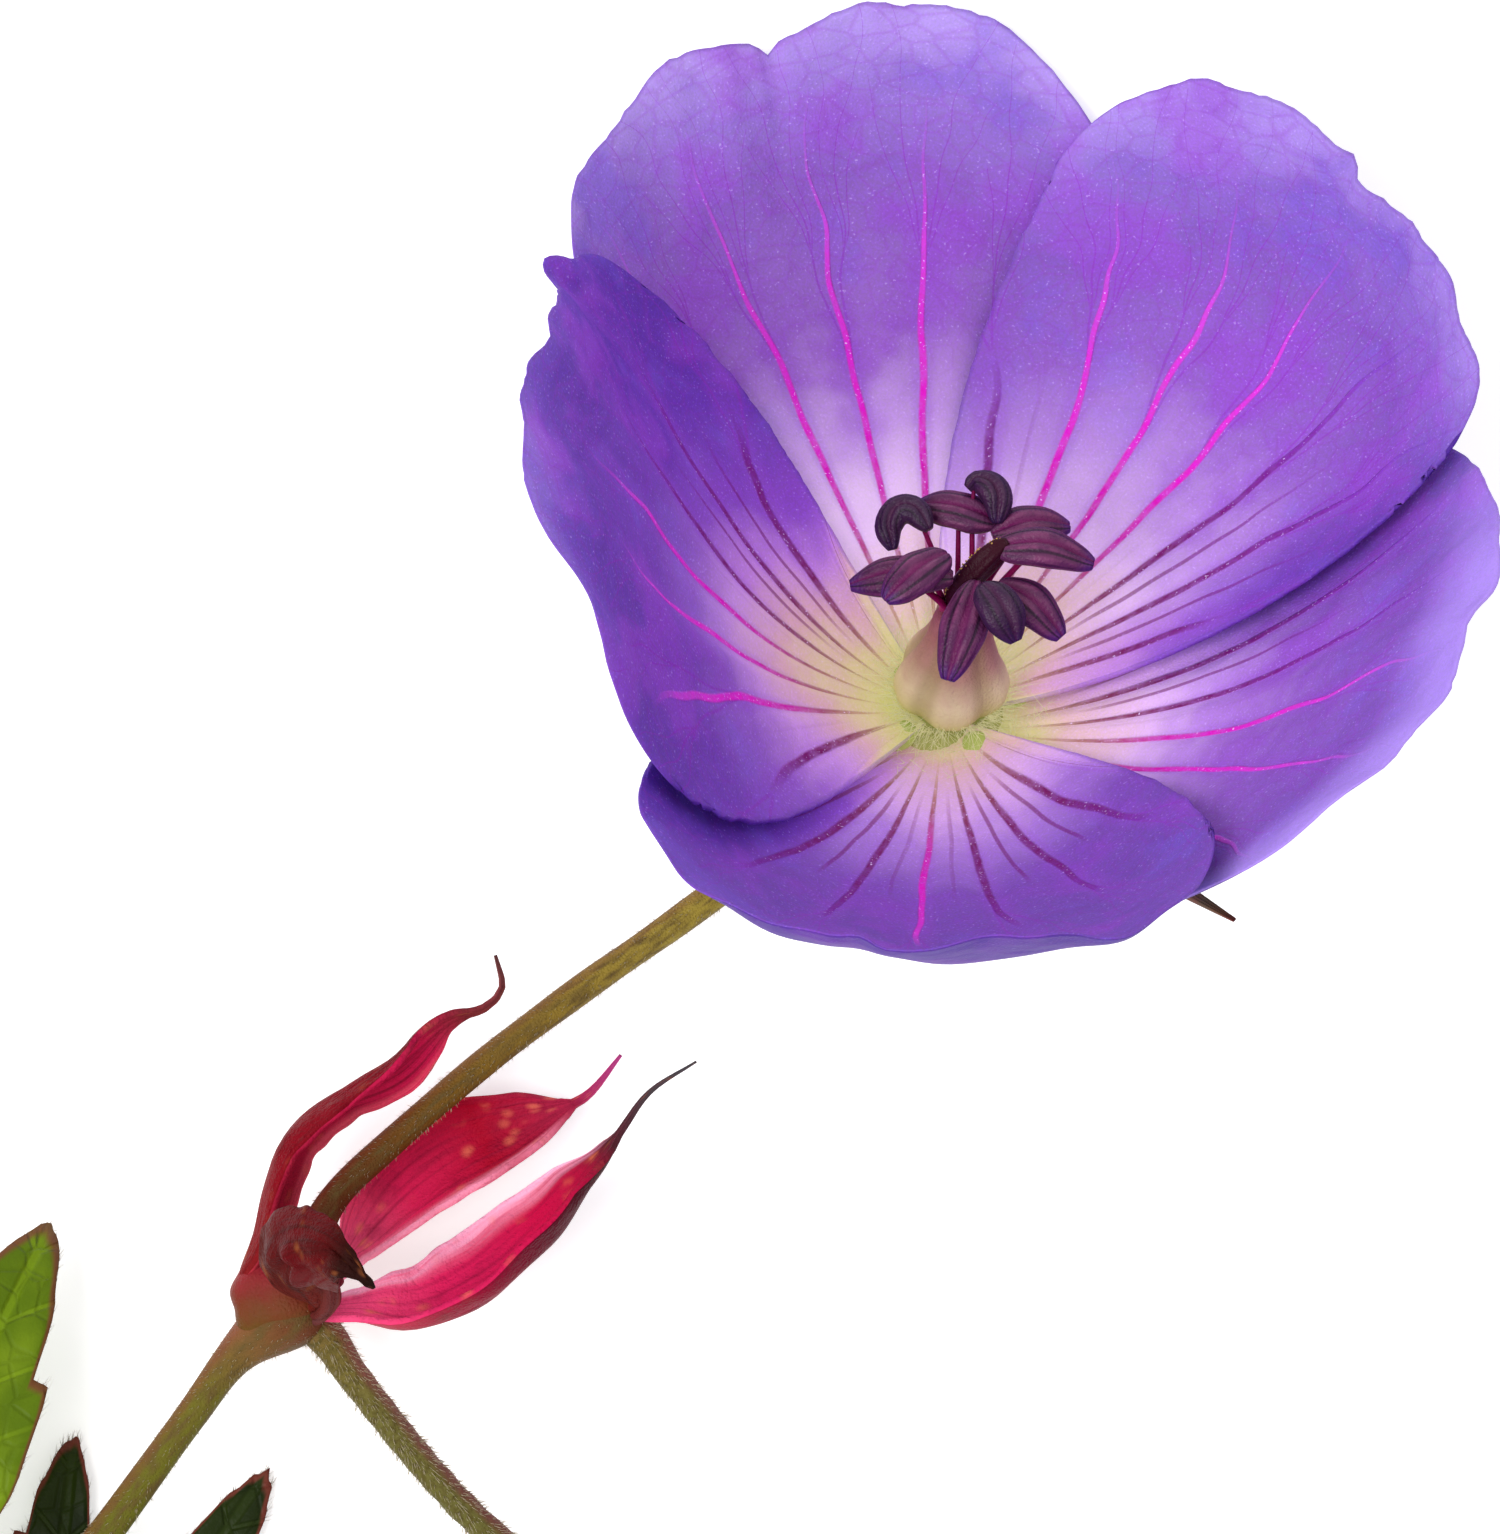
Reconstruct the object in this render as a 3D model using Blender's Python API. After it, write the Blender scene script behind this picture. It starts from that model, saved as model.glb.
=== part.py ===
"""Hardy geranium: one flowering sprig, as cut, lying on a table.

Each petal, sepal, bract and leaf, the ring of stamens, the pistil, the branching stem and
the closed bud is an object of its own. Lengths in this script are millimetres and angles are
degrees; new_object turns the finished meshes into metres. X and Y are measured from the foot
of the flower, the point on the table under the base of its petals, and Z from the table.
"""
import math

import bmesh
import bpy
import numpy as np
from mathutils import Vector

MM = 0.001

# Where the flower stands
SPRIG_SHIFT_X = 25.83
SPRIG_SHIFT_Y = 14.62
FLOWER_HEIGHT = 6.75
FLOWER_TILT = 36.9
FLOWER_LEAN = 4.2

# Blades
PETAL_THICKNESS = 0.6
BLADE_THICKNESS = 0.6
PETAL_COLUMNS = 14
PETAL_ROWS = 12

# The bowl that the petals lie in: angles between the blade and the flower's axis at the
# claw, at the middle and at the rim of a petal, and the facing direction of each petal
BOWL_BASE_RADIUS = 1.6
BOWL_LENGTH = 31.0
BOWL_BASE_ANGLE = 69.6
BOWL_BLEND = 38.0
BOWL_STEPS = 40
CLAW_HALF_WIDTH = 1.3
SIDE_RISE = 0.95
RIM_ROUNDNESS = 0.45

# Per petal: facing, middle angle, rim angle, length, left and right half width, height of the
# shoulders as a share of the length, lopsidedness, five waves of the rim, and how far the left
# and right side lie inside the bowl (negative outside)
PETALS = {
    "petal_top": dict(
        facing=-15.3, middle=65.9, rim=39.9, length=30.2, left=15.1, right=14.5,
        shoulder=0.69, skew=0.08, waves=(-0.52, -0.18, -0.23, 0.16, 0.0), inset=(-0.55, -0.55)),
    "petal_upper_right": dict(
        facing=46.5, middle=62.0, rim=-7.0, length=30.3, left=13.6, right=12.4,
        shoulder=0.81, skew=-0.08, waves=(-0.37, 0.02, -0.23, -0.10, -0.07), inset=(0.55, 0.55)),
    "petal_lower_right": dict(
        facing=114.8, middle=41.9, rim=35.1, length=27.9, left=15.5, right=13.6,
        shoulder=0.69, skew=0.08, waves=(-0.27, 0.04, -0.13, 0.23, -0.02), inset=(-0.55, -0.55)),
    "petal_bottom": dict(
        facing=186.0, middle=56.4, rim=22.3, length=30.3, left=13.5, right=13.7,
        shoulder=0.70, skew=-0.06, waves=(-0.04, 0.08, 0.10, 0.05, 0.04), inset=(0.55, -0.55)),
    "petal_left": dict(
        facing=267.3, middle=28.4, rim=39.8, length=29.1, left=12.3, right=13.1,
        shoulder=0.74, skew=-0.16, waves=(-0.21, 0.10, 0.14, 0.0, 0.06), inset=(0.55, 0.55)),
}

# Sepals: facing, then the angle to the axis at the base and at the tip
SEPALS = {
    "sepal_right": (63, 76, 66),
    "sepal_lower_right": (129.5, 90, 84),
    "sepal_bottom": (207, 76, 50),
    "sepal_left": (279, 76, 44),
    "sepal_top": (351, 72, 68),
}
SEPAL_LENGTH = 14.4
SEPAL_HALF_WIDTH = 2.5
SEPAL_AWN_SHARE = 0.2
SEPAL_AWN_HALF_WIDTH = 0.32
SEPAL_BASE_RADIUS = 1.45
SEPAL_BASE_DROP = 1.55
SEPAL_SHARE_OF_ROUND = 0.5

# Stamens: the ridged column of ten filament bases, as (height, radius), then the free parts
COLUMN_PROFILE = (
    (0.65, 1.0), (1.15, 1.02), (1.5, 1.9), (1.95, 2.3), (2.6, 2.42), (3.4, 2.2),
    (4.4, 1.75), (5.6, 1.4), (7.0, 1.26))
COLUMN_SIDES = 20
COLUMN_RIDGE = 0.09
COLUMN_LEAN = 0.05
COLUMN_BORE_RADIUS = 0.54
COLUMN_BORE_DEPTH = 2.4
FILAMENT_RADIUS = 0.22
FILAMENT_RING_RADIUS = 0.84
FILAMENT_SIDES = 5
ANTHER_HALF_WIDTH = 0.95
ANTHER_HALF_DEPTH = 0.5
ANTHER_SIDES = 12
# Anthers in order round the column, from its lower left: points along each one, in the
# flower's own right, up and axis directions; the two curled ones stand on edge
FIRST_FILAMENT = -126.0
ANTHERS = (
    ((-1.1, -0.2, 11.4), (-2.1, -1.1, 11.4), (-3.2, -2.3, 10.8)),
    ((-1.5, -0.5, 10.0), (-3.0, -0.5, 9.9), (-4.8, -0.7, 9.4)),
    ((-1.2, 1.6, 10.4), (-2.2, 3.0, 10.6), (-3.3, 2.5, 10.2), (-3.0, 1.0, 9.6)),
    ((1.4, 2.7, 9.7), (-0.1, 3.3, 9.8), (-1.8, 3.6, 9.6)),
    ((-0.3, 4.2, 10.3), (0.7, 4.6, 10.8), (1.7, 4.0, 10.8), (2.0, 2.5, 10.3)),
    ((1.9, 2.0, 9.7), (3.4, 2.6, 9.8), (4.8, 2.8, 9.5)),
    ((2.0, 0.7, 10.8), (3.8, 0.7, 11.0), (5.8, 0.3, 10.4)),
    ((2.0, -0.9, 9.9), (3.1, -1.7, 9.6), (4.4, -2.7, 8.9)),
    ((0.9, -1.4, 11.2), (1.7, -2.5, 11.0), (2.3, -3.7, 10.2)),
    ((0.4, -1.3, 10.0), (0.1, -2.9, 9.7), (-0.5, -4.9, 8.6)),
)
# Pistil: points of its middle line and its radius at each
PISTIL = (
    ((0.26, 0.0, 5.0), 0.2), ((0.34, 0.0, 6.8), 0.2), ((0.42, 0.0, 8.2), 0.34),
    ((0.6, 0.1, 9.4), 0.45), ((0.75, 0.2, 10.2), 0.42), ((0.85, 0.25, 10.6), 0.2))

# Stem: (x, y, z, radius) along its middle line, from the cut end to below the flower
STEM_CUT_END = (-46.6, -52.6, 1.12, 1.25)
LEAF_NODE = (-43.4, -44.2, 2.4, 1.75)
BRACT_NODE = (-28.3, -25.8, 4.2, 1.75)
MAIN_STEM = (
    STEM_CUT_END, (-45.7, -50.0, 1.16, 1.24), (-44.6, -47.0, 1.7, 1.3), LEAF_NODE,
    (-41.7, -42.2, 2.7, 1.05), (-36.5, -35.8, 3.3, 0.76), (-32.8, -30.7, 3.8, 0.7),
    (-30.7, -27.9, 4.0, 0.85), BRACT_NODE, (-27.8, -24.3, 4.2, 1.0), (-26.5, -21.2, 4.2, 0.66),
    (-23.9, -18.6, 3.8, 0.62), (-18.9, -14.4, 3.3, 0.62), (-13.0, -10.1, 2.8, 0.64),
    (-6.0, -5.3, 2.7, 0.68), (-2.6, -3.5, 2.9, 0.75))
SIDE_STEM = (
    (-28.3, -25.8, 4.2, 0.9), (-26.8, -27.0, 3.9, 0.85), (-25.5, -28.9, 3.7, 0.7),
    (-22.4, -32.8, 3.4, 0.66), (-19.6, -35.7, 3.2, 0.66), (-16.5, -38.0, 3.1, 0.7),
    (-13.9, -39.2, 3.0, 0.85))
# Receptacle under the flower: (distance along the axis from the petals' base, radius)
RECEPTACLE = ((-4.4, 0.85), (-3.2, 1.15), (-2.5, 1.65), (-2.05, 1.55), (-1.95, 1.0), (0.3, 0.95))
STEM_SIDES = 12
STEM_STEP = 2.6

# Bud: start of its neck, direction, length, and the rounded body
BUD_NECK = (-13.2, -39.9, 2.8)
BUD_AIM = (0.36, -0.92, -0.06)
BUD_LENGTH = 8.6
BUD_RADIUS = 2.6
BUD_AWN_LENGTH = 1.6
BUD_SIDES = 20
BUD_RINGS = 12
BUD_RIB = 0.09

# Bracts: points of the keel, the way that the hollow side faces, the greatest half width
BRACT_AWN_HALF_WIDTH = 0.28
BRACT_OPENING = 62.0
BRACTS = {
    "bract_left": dict(
        keel=((-30.4, -24.6, 4.3), (-29.7, -22.6, 4.3), (-29.2, -20.4, 4.4), (-28.4, -18.4, 4.5),
              (-26.5, -16.7, 4.6), (-23.8, -15.3, 4.7), (-21.6, -13.4, 4.7), (-19.9, -12.8, 4.7),
              (-19.1, -11.9, 4.7), (-19.4, -10.5, 4.7)),
        hollow=(0.67, -0.74, 0.15), half_width=2.4, awn_from=0.8),
    "bract_middle": dict(
        keel=((-25.6, -23.4, 2.5), (-23.5, -21.1, 1.8), (-21.3, -19.5, 1.5), (-18.6, -18.3, 1.6),
              (-16.4, -17.2, 2.1), (-15.3, -16.5, 2.4), (-14.0, -14.9, 2.4)),
        hollow=(-0.25, 0.28, 0.93), half_width=2.1, awn_from=0.8),
    "bract_right": dict(
        keel=((-25.3, -25.9, 4.5), (-22.8, -26.2, 4.5), (-19.9, -25.1, 4.6), (-17.2, -22.7, 4.8),
              (-15.2, -20.0, 4.9), (-13.9, -18.0, 4.9), (-12.7, -16.4, 4.9), (-10.7, -15.1, 4.9)),
        hollow=(-0.62, 0.68, 0.38), half_width=2.8, awn_from=0.78),
    "bract_front": dict(
        keel=((-27.0, -25.5, 6.5), (-27.9, -24.2, 8.6), (-27.8, -23.3, 11.2), (-26.3, -23.1, 13.8),
              (-24.8, -24.4, 14.6), (-24.3, -25.5, 13.9)),
        hollow=(0.3, 0.1, -0.95), half_width=2.0, awn_from=0.86),
}

# Stipules at the leaf node, like small bracts
STIPULES = {
    "stipule_upper": dict(
        keel=((-42.9, -43.2, 4.7), (-41.9, -41.4, 5.4), (-40.6, -39.7, 5.6), (-39.7, -38.6, 5.3)),
        hollow=(0.1, -0.1, -1.0), half_width=1.3, awn_from=0.8),
}

# Leaf outline, per lobe: (share of the way to the neighbouring lobe's axis, share of the
# lobe's length), from the tip down to the cleft between two lobes
LOBE_HALF = ((0.0, 1.0), (0.1, 0.96), (0.22, 0.88), (0.37, 0.74), (0.49, 0.73), (0.78, 0.55),
             (1.0, 0.34))
LEAF_END_SPREAD = 22.0
LEAF_ROWS = 5
LEAF_REST_HEIGHT = 0.26
LEAF_EYE_RADIUS = 1.5
LEAVES = {
    "leaf_left": dict(
        eye=(-48.3, -42.6, 4.6), petiole=(-45.6, -43.4, 3.0), arch=3.6, droop=7.7, fold=1.6,
        lobes=((25, 22.6), (-22, 26.0), (-66, 28.5), (-108, 26.0), (-148, 18.0))),
    "leaf_right": dict(
        eye=(-39.6, -47.6, 0.8), petiole=(-41.4, -46.2, 1.3), arch=0.1, droop=0.5, fold=0.8,
        lobes=((6, 16.2), (35, 17.8), (76, 20.0), (116, 18.5), (155, 14.0))),
}
PETIOLE_RADIUS = 0.65

# Colours: (red, green, blue, roughness)
VIOLET = (0.27, 0.13, 0.62, 0.5)
CALYX_GREEN = (0.27, 0.24, 0.09, 0.6)
ANTHER_PURPLE = (0.10, 0.02, 0.08, 0.45)
STIGMA_MAROON = (0.10, 0.01, 0.03, 0.5)
STEM_OLIVE = (0.22, 0.18, 0.05, 0.6)
BRACT_RED = (0.42, 0.02, 0.06, 0.45)
LEAF_GREEN = (0.13, 0.25, 0.03, 0.5)
BUD_GREEN = (0.25, 0.20, 0.11, 0.65)


def clear_scene():
    """Remove every object of the scene."""
    for obj in list(bpy.data.objects):
        bpy.data.objects.remove(obj, do_unlink=True)


def make_material(name, colour):
    """A Principled material with one colour and one roughness."""
    material = bpy.data.materials.new(name)
    material.use_nodes = True
    shader = material.node_tree.nodes["Principled BSDF"]
    shader.inputs["Base Color"].default_value = (*colour[:3], 1.0)
    shader.inputs["Roughness"].default_value = colour[3]
    shader.inputs["Metallic"].default_value = 0.0
    material.diffuse_color = (*colour[:3], 1.0)
    return material


def temporary_object(name, bm):
    """An object in millimetres that a modifier works on."""
    mesh = bpy.data.meshes.new(name)
    bm.to_mesh(mesh)
    bm.free()
    obj = bpy.data.objects.new(name, mesh)
    bpy.context.scene.collection.objects.link(obj)
    return obj


def baked(obj):
    """The evaluated mesh of an object as a bmesh; the object itself is removed."""
    graph = bpy.context.evaluated_depsgraph_get()
    mesh = bpy.data.meshes.new_from_object(obj.evaluated_get(graph))
    bm = bmesh.new()
    bm.from_mesh(mesh)
    bpy.data.meshes.remove(mesh)
    bpy.data.objects.remove(obj, do_unlink=True)
    return bm


def new_object(name, bm, material):
    """Settle a mesh on the table, turn it into metres and make the finished object."""
    for vert in bm.verts:
        vert.co.z = max(vert.co.z, 0.0)
    bmesh.ops.translate(bm, vec=(SPRIG_SHIFT_X, SPRIG_SHIFT_Y, 0.0), verts=bm.verts)
    bmesh.ops.scale(bm, vec=(MM, MM, MM), verts=bm.verts)
    mesh = bpy.data.meshes.new(name)
    bm.to_mesh(mesh)
    bm.free()
    mesh.materials.append(material)
    mesh.shade_smooth()
    mesh.set_sharp_from_angle(angle=math.radians(50.0))
    obj = bpy.data.objects.new(name, mesh)
    bpy.context.scene.collection.objects.link(obj)
    return obj


def joined(first, others, operation="UNION", solver="EXACT"):
    """One body from several closed meshes by a Boolean."""
    main = temporary_object("main", first)
    group = bpy.data.collections.new("operands")
    bpy.context.scene.collection.children.link(group)
    for bm in others:
        piece = temporary_object("operand", bm)
        bpy.context.scene.collection.objects.unlink(piece)
        group.objects.link(piece)
    modifier = main.modifiers.new("join", "BOOLEAN")
    modifier.operation = operation
    modifier.operand_type = "COLLECTION"
    modifier.collection = group
    modifier.solver = solver
    bpy.context.view_layer.update()
    result = baked(main)
    for piece in list(group.objects):
        bpy.data.objects.remove(piece, do_unlink=True)
    bpy.data.collections.remove(group)
    return result


def smooth_line(points, step):
    """Points about one step apart on a smooth curve through the given rows of numbers."""
    rows = np.array(points, float)
    padded = np.vstack([2 * rows[0] - rows[1], rows, 2 * rows[-1] - rows[-2]])
    line = []
    for i in range(1, len(padded) - 2):
        before, start, end, after = padded[i - 1:i + 3]
        count = max(1, round(float(np.linalg.norm((end - start)[:3])) / step))
        for t in np.arange(count) / count:
            line.append(0.5 * (2 * start + (end - before) * t
                               + (2 * before - 5 * start + 4 * end - after) * t ** 2
                               + (3 * start - before - 3 * end + after) * t ** 3))
    line.append(rows[-1])
    return np.array(line)


def tangents(line):
    """Unit directions along a line of points."""
    ahead = np.gradient(np.asarray(line, float)[:, :3], axis=0)
    return ahead / np.linalg.norm(ahead, axis=1)[:, None]


def ring(bm, centre, across, over, radii, sides, start=0.5):
    """A loop of vertices round a centre; radii is a function of the angle."""
    verts = []
    for k in range(sides):
        angle = 2 * math.pi * (k + start) / sides
        wide, deep = radii(angle)
        spot = centre + wide * math.cos(angle) * across + deep * math.sin(angle) * over
        verts.append(bm.verts.new(spot))
    return verts


def loft(bm, rings):
    """Skin a row of vertex loops and close both ends."""
    sides = len(rings[0])
    for low, high in zip(rings, rings[1:]):
        for k in range(sides):
            n = (k + 1) % sides
            bm.faces.new((low[k], low[n], high[n], high[k]))
    bm.faces.new(rings[0][::-1])
    bm.faces.new(rings[-1])
    bmesh.ops.triangulate(bm, faces=bm.faces[:])
    bmesh.ops.recalc_face_normals(bm, faces=bm.faces[:])


def round_section(size):
    """Cross-section of a plain round tube."""
    def section(_angle):
        return size, size
    return section


def tube(line, radii, sides, up=(0.0, 0.0, 1.0), shape=round_section, on_edge=False):
    """A closed tube along a line; its wide side lies flat to the up direction, or on edge."""
    bm = bmesh.new()
    rings = []
    for centre, ahead, radius in zip(line, tangents(line), radii):
        over = np.array(up, float) - ahead * float(np.dot(up, ahead))
        if np.linalg.norm(over) < 0.2:
            over = np.array((0.0, 1.0, 0.0)) - ahead * ahead[1]
        over = over / np.linalg.norm(over)
        across = np.cross(over, ahead)
        if on_edge:
            across, over = over, -across
        rings.append(ring(bm, centre[:3], across, over, shape(radius), sides))
    loft(bm, rings)
    return bm


def flower_axes():
    """Right, up and axis directions of the flower."""
    tilt, lean = math.radians(FLOWER_TILT), math.radians(FLOWER_LEAN)
    axis = np.array((math.sin(lean) * math.sin(tilt), math.cos(lean) * math.sin(tilt),
                     math.cos(tilt)))
    up = np.array((0.0, math.cos(tilt), -math.sin(tilt)))
    up = up - axis * up.dot(axis)
    up = up / np.linalg.norm(up)
    return np.cross(up, axis), up, axis


def in_flower(x, y, height):
    """A point given in the flower's own directions, on the sprig."""
    right, up, axis = flower_axes()
    return x * right + y * up + height * axis + np.array((0.0, 0.0, FLOWER_HEIGHT))


def blend_round(values, facing):
    """Mix five values by how near each petal's facing is."""
    mix, total = 0.0, 0.0
    for value, petal in zip(values, PETALS.values()):
        away = (facing - petal["facing"] + 180.0) % 360.0 - 180.0
        weight = math.exp(-(away / BOWL_BLEND) ** 2)
        mix, total = mix + weight * value, total + weight
    return mix / total


def bowl(facing, along):
    """Radius, height and steepness (radians) of the bowl at a distance along it."""
    middle = blend_round([petal["middle"] for petal in PETALS.values()], facing)
    rim = blend_round([petal["rim"] for petal in PETALS.values()], facing)
    share = along / BOWL_LENGTH * np.linspace(0.0, 1.0, BOWL_STEPS)
    angle = np.radians(BOWL_BASE_ANGLE * (1 - share) * (1 - 2 * share)
                       + middle * 4 * share * (1 - share) + rim * share * (2 * share - 1))
    step = along / (BOWL_STEPS - 1)
    radius = BOWL_BASE_RADIUS + step * (np.sin(angle).sum() - math.sin(angle[0]) / 2
                                        - math.sin(angle[-1]) / 2)
    height = step * (np.cos(angle).sum() - math.cos(angle[0]) / 2 - math.cos(angle[-1]) / 2)
    return radius, height, angle[-1]


def petal_outline(petal, u, v):
    """Across and along distances on the flat petal; u is -1 to 1 across, v is 0 to 1 along."""
    side = petal["left"] if u < 0 else petal["right"]
    half = CLAW_HALF_WIDTH + (side - CLAW_HALF_WIDTH) * math.sin(math.pi / 2 * v ** SIDE_RISE)
    wave = sum(size * math.cos(2 * math.pi * u * (k // 2 + 1) - (k % 2) * math.pi / 2)
               for k, size in enumerate(petal["waves"]))
    shoulder = petal["shoulder"]
    top = petal["length"] * (shoulder + (1 - shoulder) * (1 - u * u) ** RIM_ROUNDNESS)
    top = top * (1 + petal["skew"] * u * (1 - u * u)) + wave * (1 - u ** 4)
    return u * half, v * top


def petal_point(petal, u, v):
    """A point of the petal's middle surface."""
    across, along = petal_outline(petal, u, v)
    radius = bowl(petal["facing"], along)[0]
    facing = petal["facing"] + math.degrees(across / max(radius, 1.0))
    radius, height, angle = bowl(facing, along)
    left, right = petal["inset"]
    inset = left + (right - left) * (u + 1) / 2
    radius -= inset * math.cos(angle)
    height += inset * math.sin(angle)
    turn = math.radians(facing)
    return in_flower(radius * math.sin(turn), radius * math.cos(turn), height)


def blade(place, columns, rows, thickness):
    """A thin closed blade; place gives a point for u from -1 to 1 and v from 0 to 1."""
    bm = bmesh.new()
    bmesh.ops.create_grid(bm, x_segments=columns, y_segments=rows, size=1.0)
    for vert in bm.verts:
        vert.co = Vector(place(vert.co.x, (vert.co.y + 1) / 2))
    bmesh.ops.triangulate(bm, faces=bm.faces[:])
    sheet = temporary_object("sheet", bm)
    solidify = sheet.modifiers.new("thickness", "SOLIDIFY")
    solidify.thickness = thickness
    solidify.offset = 0.0
    bpy.context.view_layer.update()
    solid = baked(sheet)
    bmesh.ops.triangulate(solid, faces=solid.faces[:])
    bmesh.ops.recalc_face_normals(solid, faces=solid.faces[:])
    return solid


def build_petals(material):
    """Five petals in one bowl, each lapping over its neighbours."""
    for name, petal in PETALS.items():
        def place(x, v, petal=petal):
            return petal_point(petal, math.sin(math.pi / 2 * x), v)
        new_object(name, blade(place, PETAL_COLUMNS, PETAL_ROWS, PETAL_THICKNESS), material)


def sepal_width(v):
    """Half width of a sepal, ending in a narrow awn."""
    body = min(v / (1 - SEPAL_AWN_SHARE), 1.0)
    leaf = SEPAL_HALF_WIDTH * (0.3 + 0.7 * math.sin(math.pi * min(body * 1.1, 1.0) ** 0.8))
    return max(leaf * (1 - body ** 3), SEPAL_AWN_HALF_WIDTH)


def build_sepals(material):
    """Five sepals behind the petals."""
    for name, (facing, base_angle, tip_angle) in SEPALS.items():
        def place(u, v, facing=facing, base_angle=base_angle, tip_angle=tip_angle):
            along = v * SEPAL_LENGTH
            angle = math.radians(base_angle + (tip_angle - base_angle) * v / 2)
            radius = SEPAL_BASE_RADIUS + along * math.sin(angle)
            half = min(sepal_width(v), SEPAL_SHARE_OF_ROUND * radius)
            height = along * math.cos(angle) - SEPAL_BASE_DROP
            turn = math.radians(facing) + u * half / max(radius, SEPAL_BASE_RADIUS)
            spot = in_flower(radius * math.sin(turn), radius * math.cos(turn), height)
            return (spot[0], spot[1], max(spot[2], BLADE_THICKNESS / 2))
        new_object(name, blade(place, 5, 11, BLADE_THICKNESS), material)


def column_mesh():
    """The ridged column with the plain hole that the pistil stands in."""
    right, up, axis = flower_axes()
    bm = bmesh.new()
    rings = []
    for height, radius in COLUMN_PROFILE:
        def ridged(angle, radius=radius):
            size = radius * (1 + COLUMN_RIDGE * math.cos(COLUMN_SIDES / 2 * angle))
            return size, size
        centre = in_flower(COLUMN_LEAN * height, 0.0, height)
        rings.append(ring(bm, centre, right, up, ridged, COLUMN_SIDES, start=0.0))
    loft(bm, rings)
    top = COLUMN_PROFILE[-1][0]
    drill = [in_flower(COLUMN_LEAN * height, 0.0, height)
             for height in (top - COLUMN_BORE_DEPTH, top + 1.0)]
    cutter = tube(drill, (COLUMN_BORE_RADIUS, COLUMN_BORE_RADIUS), 8)
    return joined(bm, [cutter], "DIFFERENCE")


def anther_section(size):
    """Cross-section of an anther: two lobes side by side with a groove between them."""
    def section(angle):
        groove = 1 - 0.35 * math.exp(-(math.cos(angle) / 0.4) ** 2)
        return size * ANTHER_HALF_WIDTH, size * ANTHER_HALF_DEPTH * groove
    return section


def anther_mesh(points):
    """One anther along its middle line, blunt at both ends."""
    line = smooth_line([in_flower(*point) for point in points], 0.85)
    share = np.linspace(0.0, 1.0, len(line))
    sizes = 0.3 + 0.7 * np.sin(np.pi * (0.06 + 0.88 * share)) ** 0.6
    return tube(line, sizes, ANTHER_SIDES, up=flower_axes()[2], shape=anther_section,
                on_edge=len(points) > 3)


def filament_mesh(place, points):
    """One free filament, from its ridge of the column's rim to the middle of its anther."""
    turn = math.radians(FIRST_FILAMENT + 360.0 / len(ANTHERS) * place)
    top = COLUMN_PROFILE[-1][0]
    lean = COLUMN_LEAN * top
    x, y, height = points[1]
    rim = FILAMENT_RING_RADIUS
    base = (rim * math.sin(turn) + lean, rim * math.cos(turn), top - 0.7)
    knee = (1.2 * rim * math.sin(turn) + lean, 1.2 * rim * math.cos(turn), top + 1.0)
    line = smooth_line([in_flower(*spot) for spot in (base, knee, (x, y, height - 0.15))], 1.6)
    radii = np.full(len(line), FILAMENT_RADIUS)
    return tube(line, radii, FILAMENT_SIDES, up=(1.0, 0.0, 0.0))


def build_stamens(material):
    """Ten stamens: filament bases joined in a column, each carrying an anther."""
    pieces = [filament_mesh(place, points) for place, points in enumerate(ANTHERS)]
    pieces += [anther_mesh(points) for points in ANTHERS]
    new_object("stamens", joined(column_mesh(), pieces, solver="MANIFOLD"), material)


def build_pistil(material):
    """The pistil, standing free in the column's hole."""
    rows = [(*in_flower(*spot), radius) for spot, radius in PISTIL]
    line = smooth_line(rows, 0.8)
    new_object("pistil", tube(line, line[:, 3], 8, up=(1.0, 0.0, 0.0)), material)


def build_stem(material):
    """The branching stem: cut end, leaf node, bract node, and a stalk to flower and bud."""
    neck = [(*in_flower(0.0, 0.0, height), radius) for height, radius in RECEPTACLE]
    way = list(MAIN_STEM) + neck[:1]
    line = np.vstack([smooth_line(way, STEM_STEP), neck[1:]])
    main = tube(line, line[:, 3], STEM_SIDES)
    side_line = smooth_line(SIDE_STEM, STEM_STEP)
    side = tube(side_line, side_line[:, 3], STEM_SIDES)
    new_object("stem", joined(main, [side]), material)


def build_bud(material):
    """The closed bud on the side stalk: ribbed calyx drawn out into a point."""
    aim = np.array(BUD_AIM) / np.linalg.norm(BUD_AIM)
    over = np.array((0.0, 0.0, 1.0)) - aim * aim[2]
    over = over / np.linalg.norm(over)
    across = np.cross(over, aim)
    bm = bmesh.new()
    rings = []
    for i in range(BUD_RINGS + 1):
        share = i / BUD_RINGS
        size = 0.75 + (BUD_RADIUS - 0.75) * math.sin(math.pi * share ** 0.75) ** 0.8
        size *= 1 - 0.55 * share ** 4

        def ribbed(angle, size=size, share=share):
            wide = size * (1 + BUD_RIB * math.sin(math.pi * share) * math.cos(5 * angle))
            return wide, wide
        centre = np.array(BUD_NECK) + aim * BUD_LENGTH * share
        rings.append(ring(bm, centre, across, over, ribbed, BUD_SIDES))
    for step, radius in ((0.35, 0.3), (1.0, 0.2)):
        centre = np.array(BUD_NECK) + aim * (BUD_LENGTH + BUD_AWN_LENGTH * step)

        def plain(angle, radius=radius):
            return radius, radius
        rings.append(ring(bm, centre, across, over, plain, BUD_SIDES))
    loft(bm, rings)
    new_object("bud", bm, material)


def bract_width(v, half_width, awn_from):
    """Half width of a bract: narrow foot, broad body, long awn."""
    if v >= awn_from:
        return BRACT_AWN_HALF_WIDTH
    share = v / awn_from
    body = half_width * (0.38 + 0.62 * math.sin(math.pi * share ** 0.8))
    return max(body * (1 - share ** 5), BRACT_AWN_HALF_WIDTH)


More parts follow.
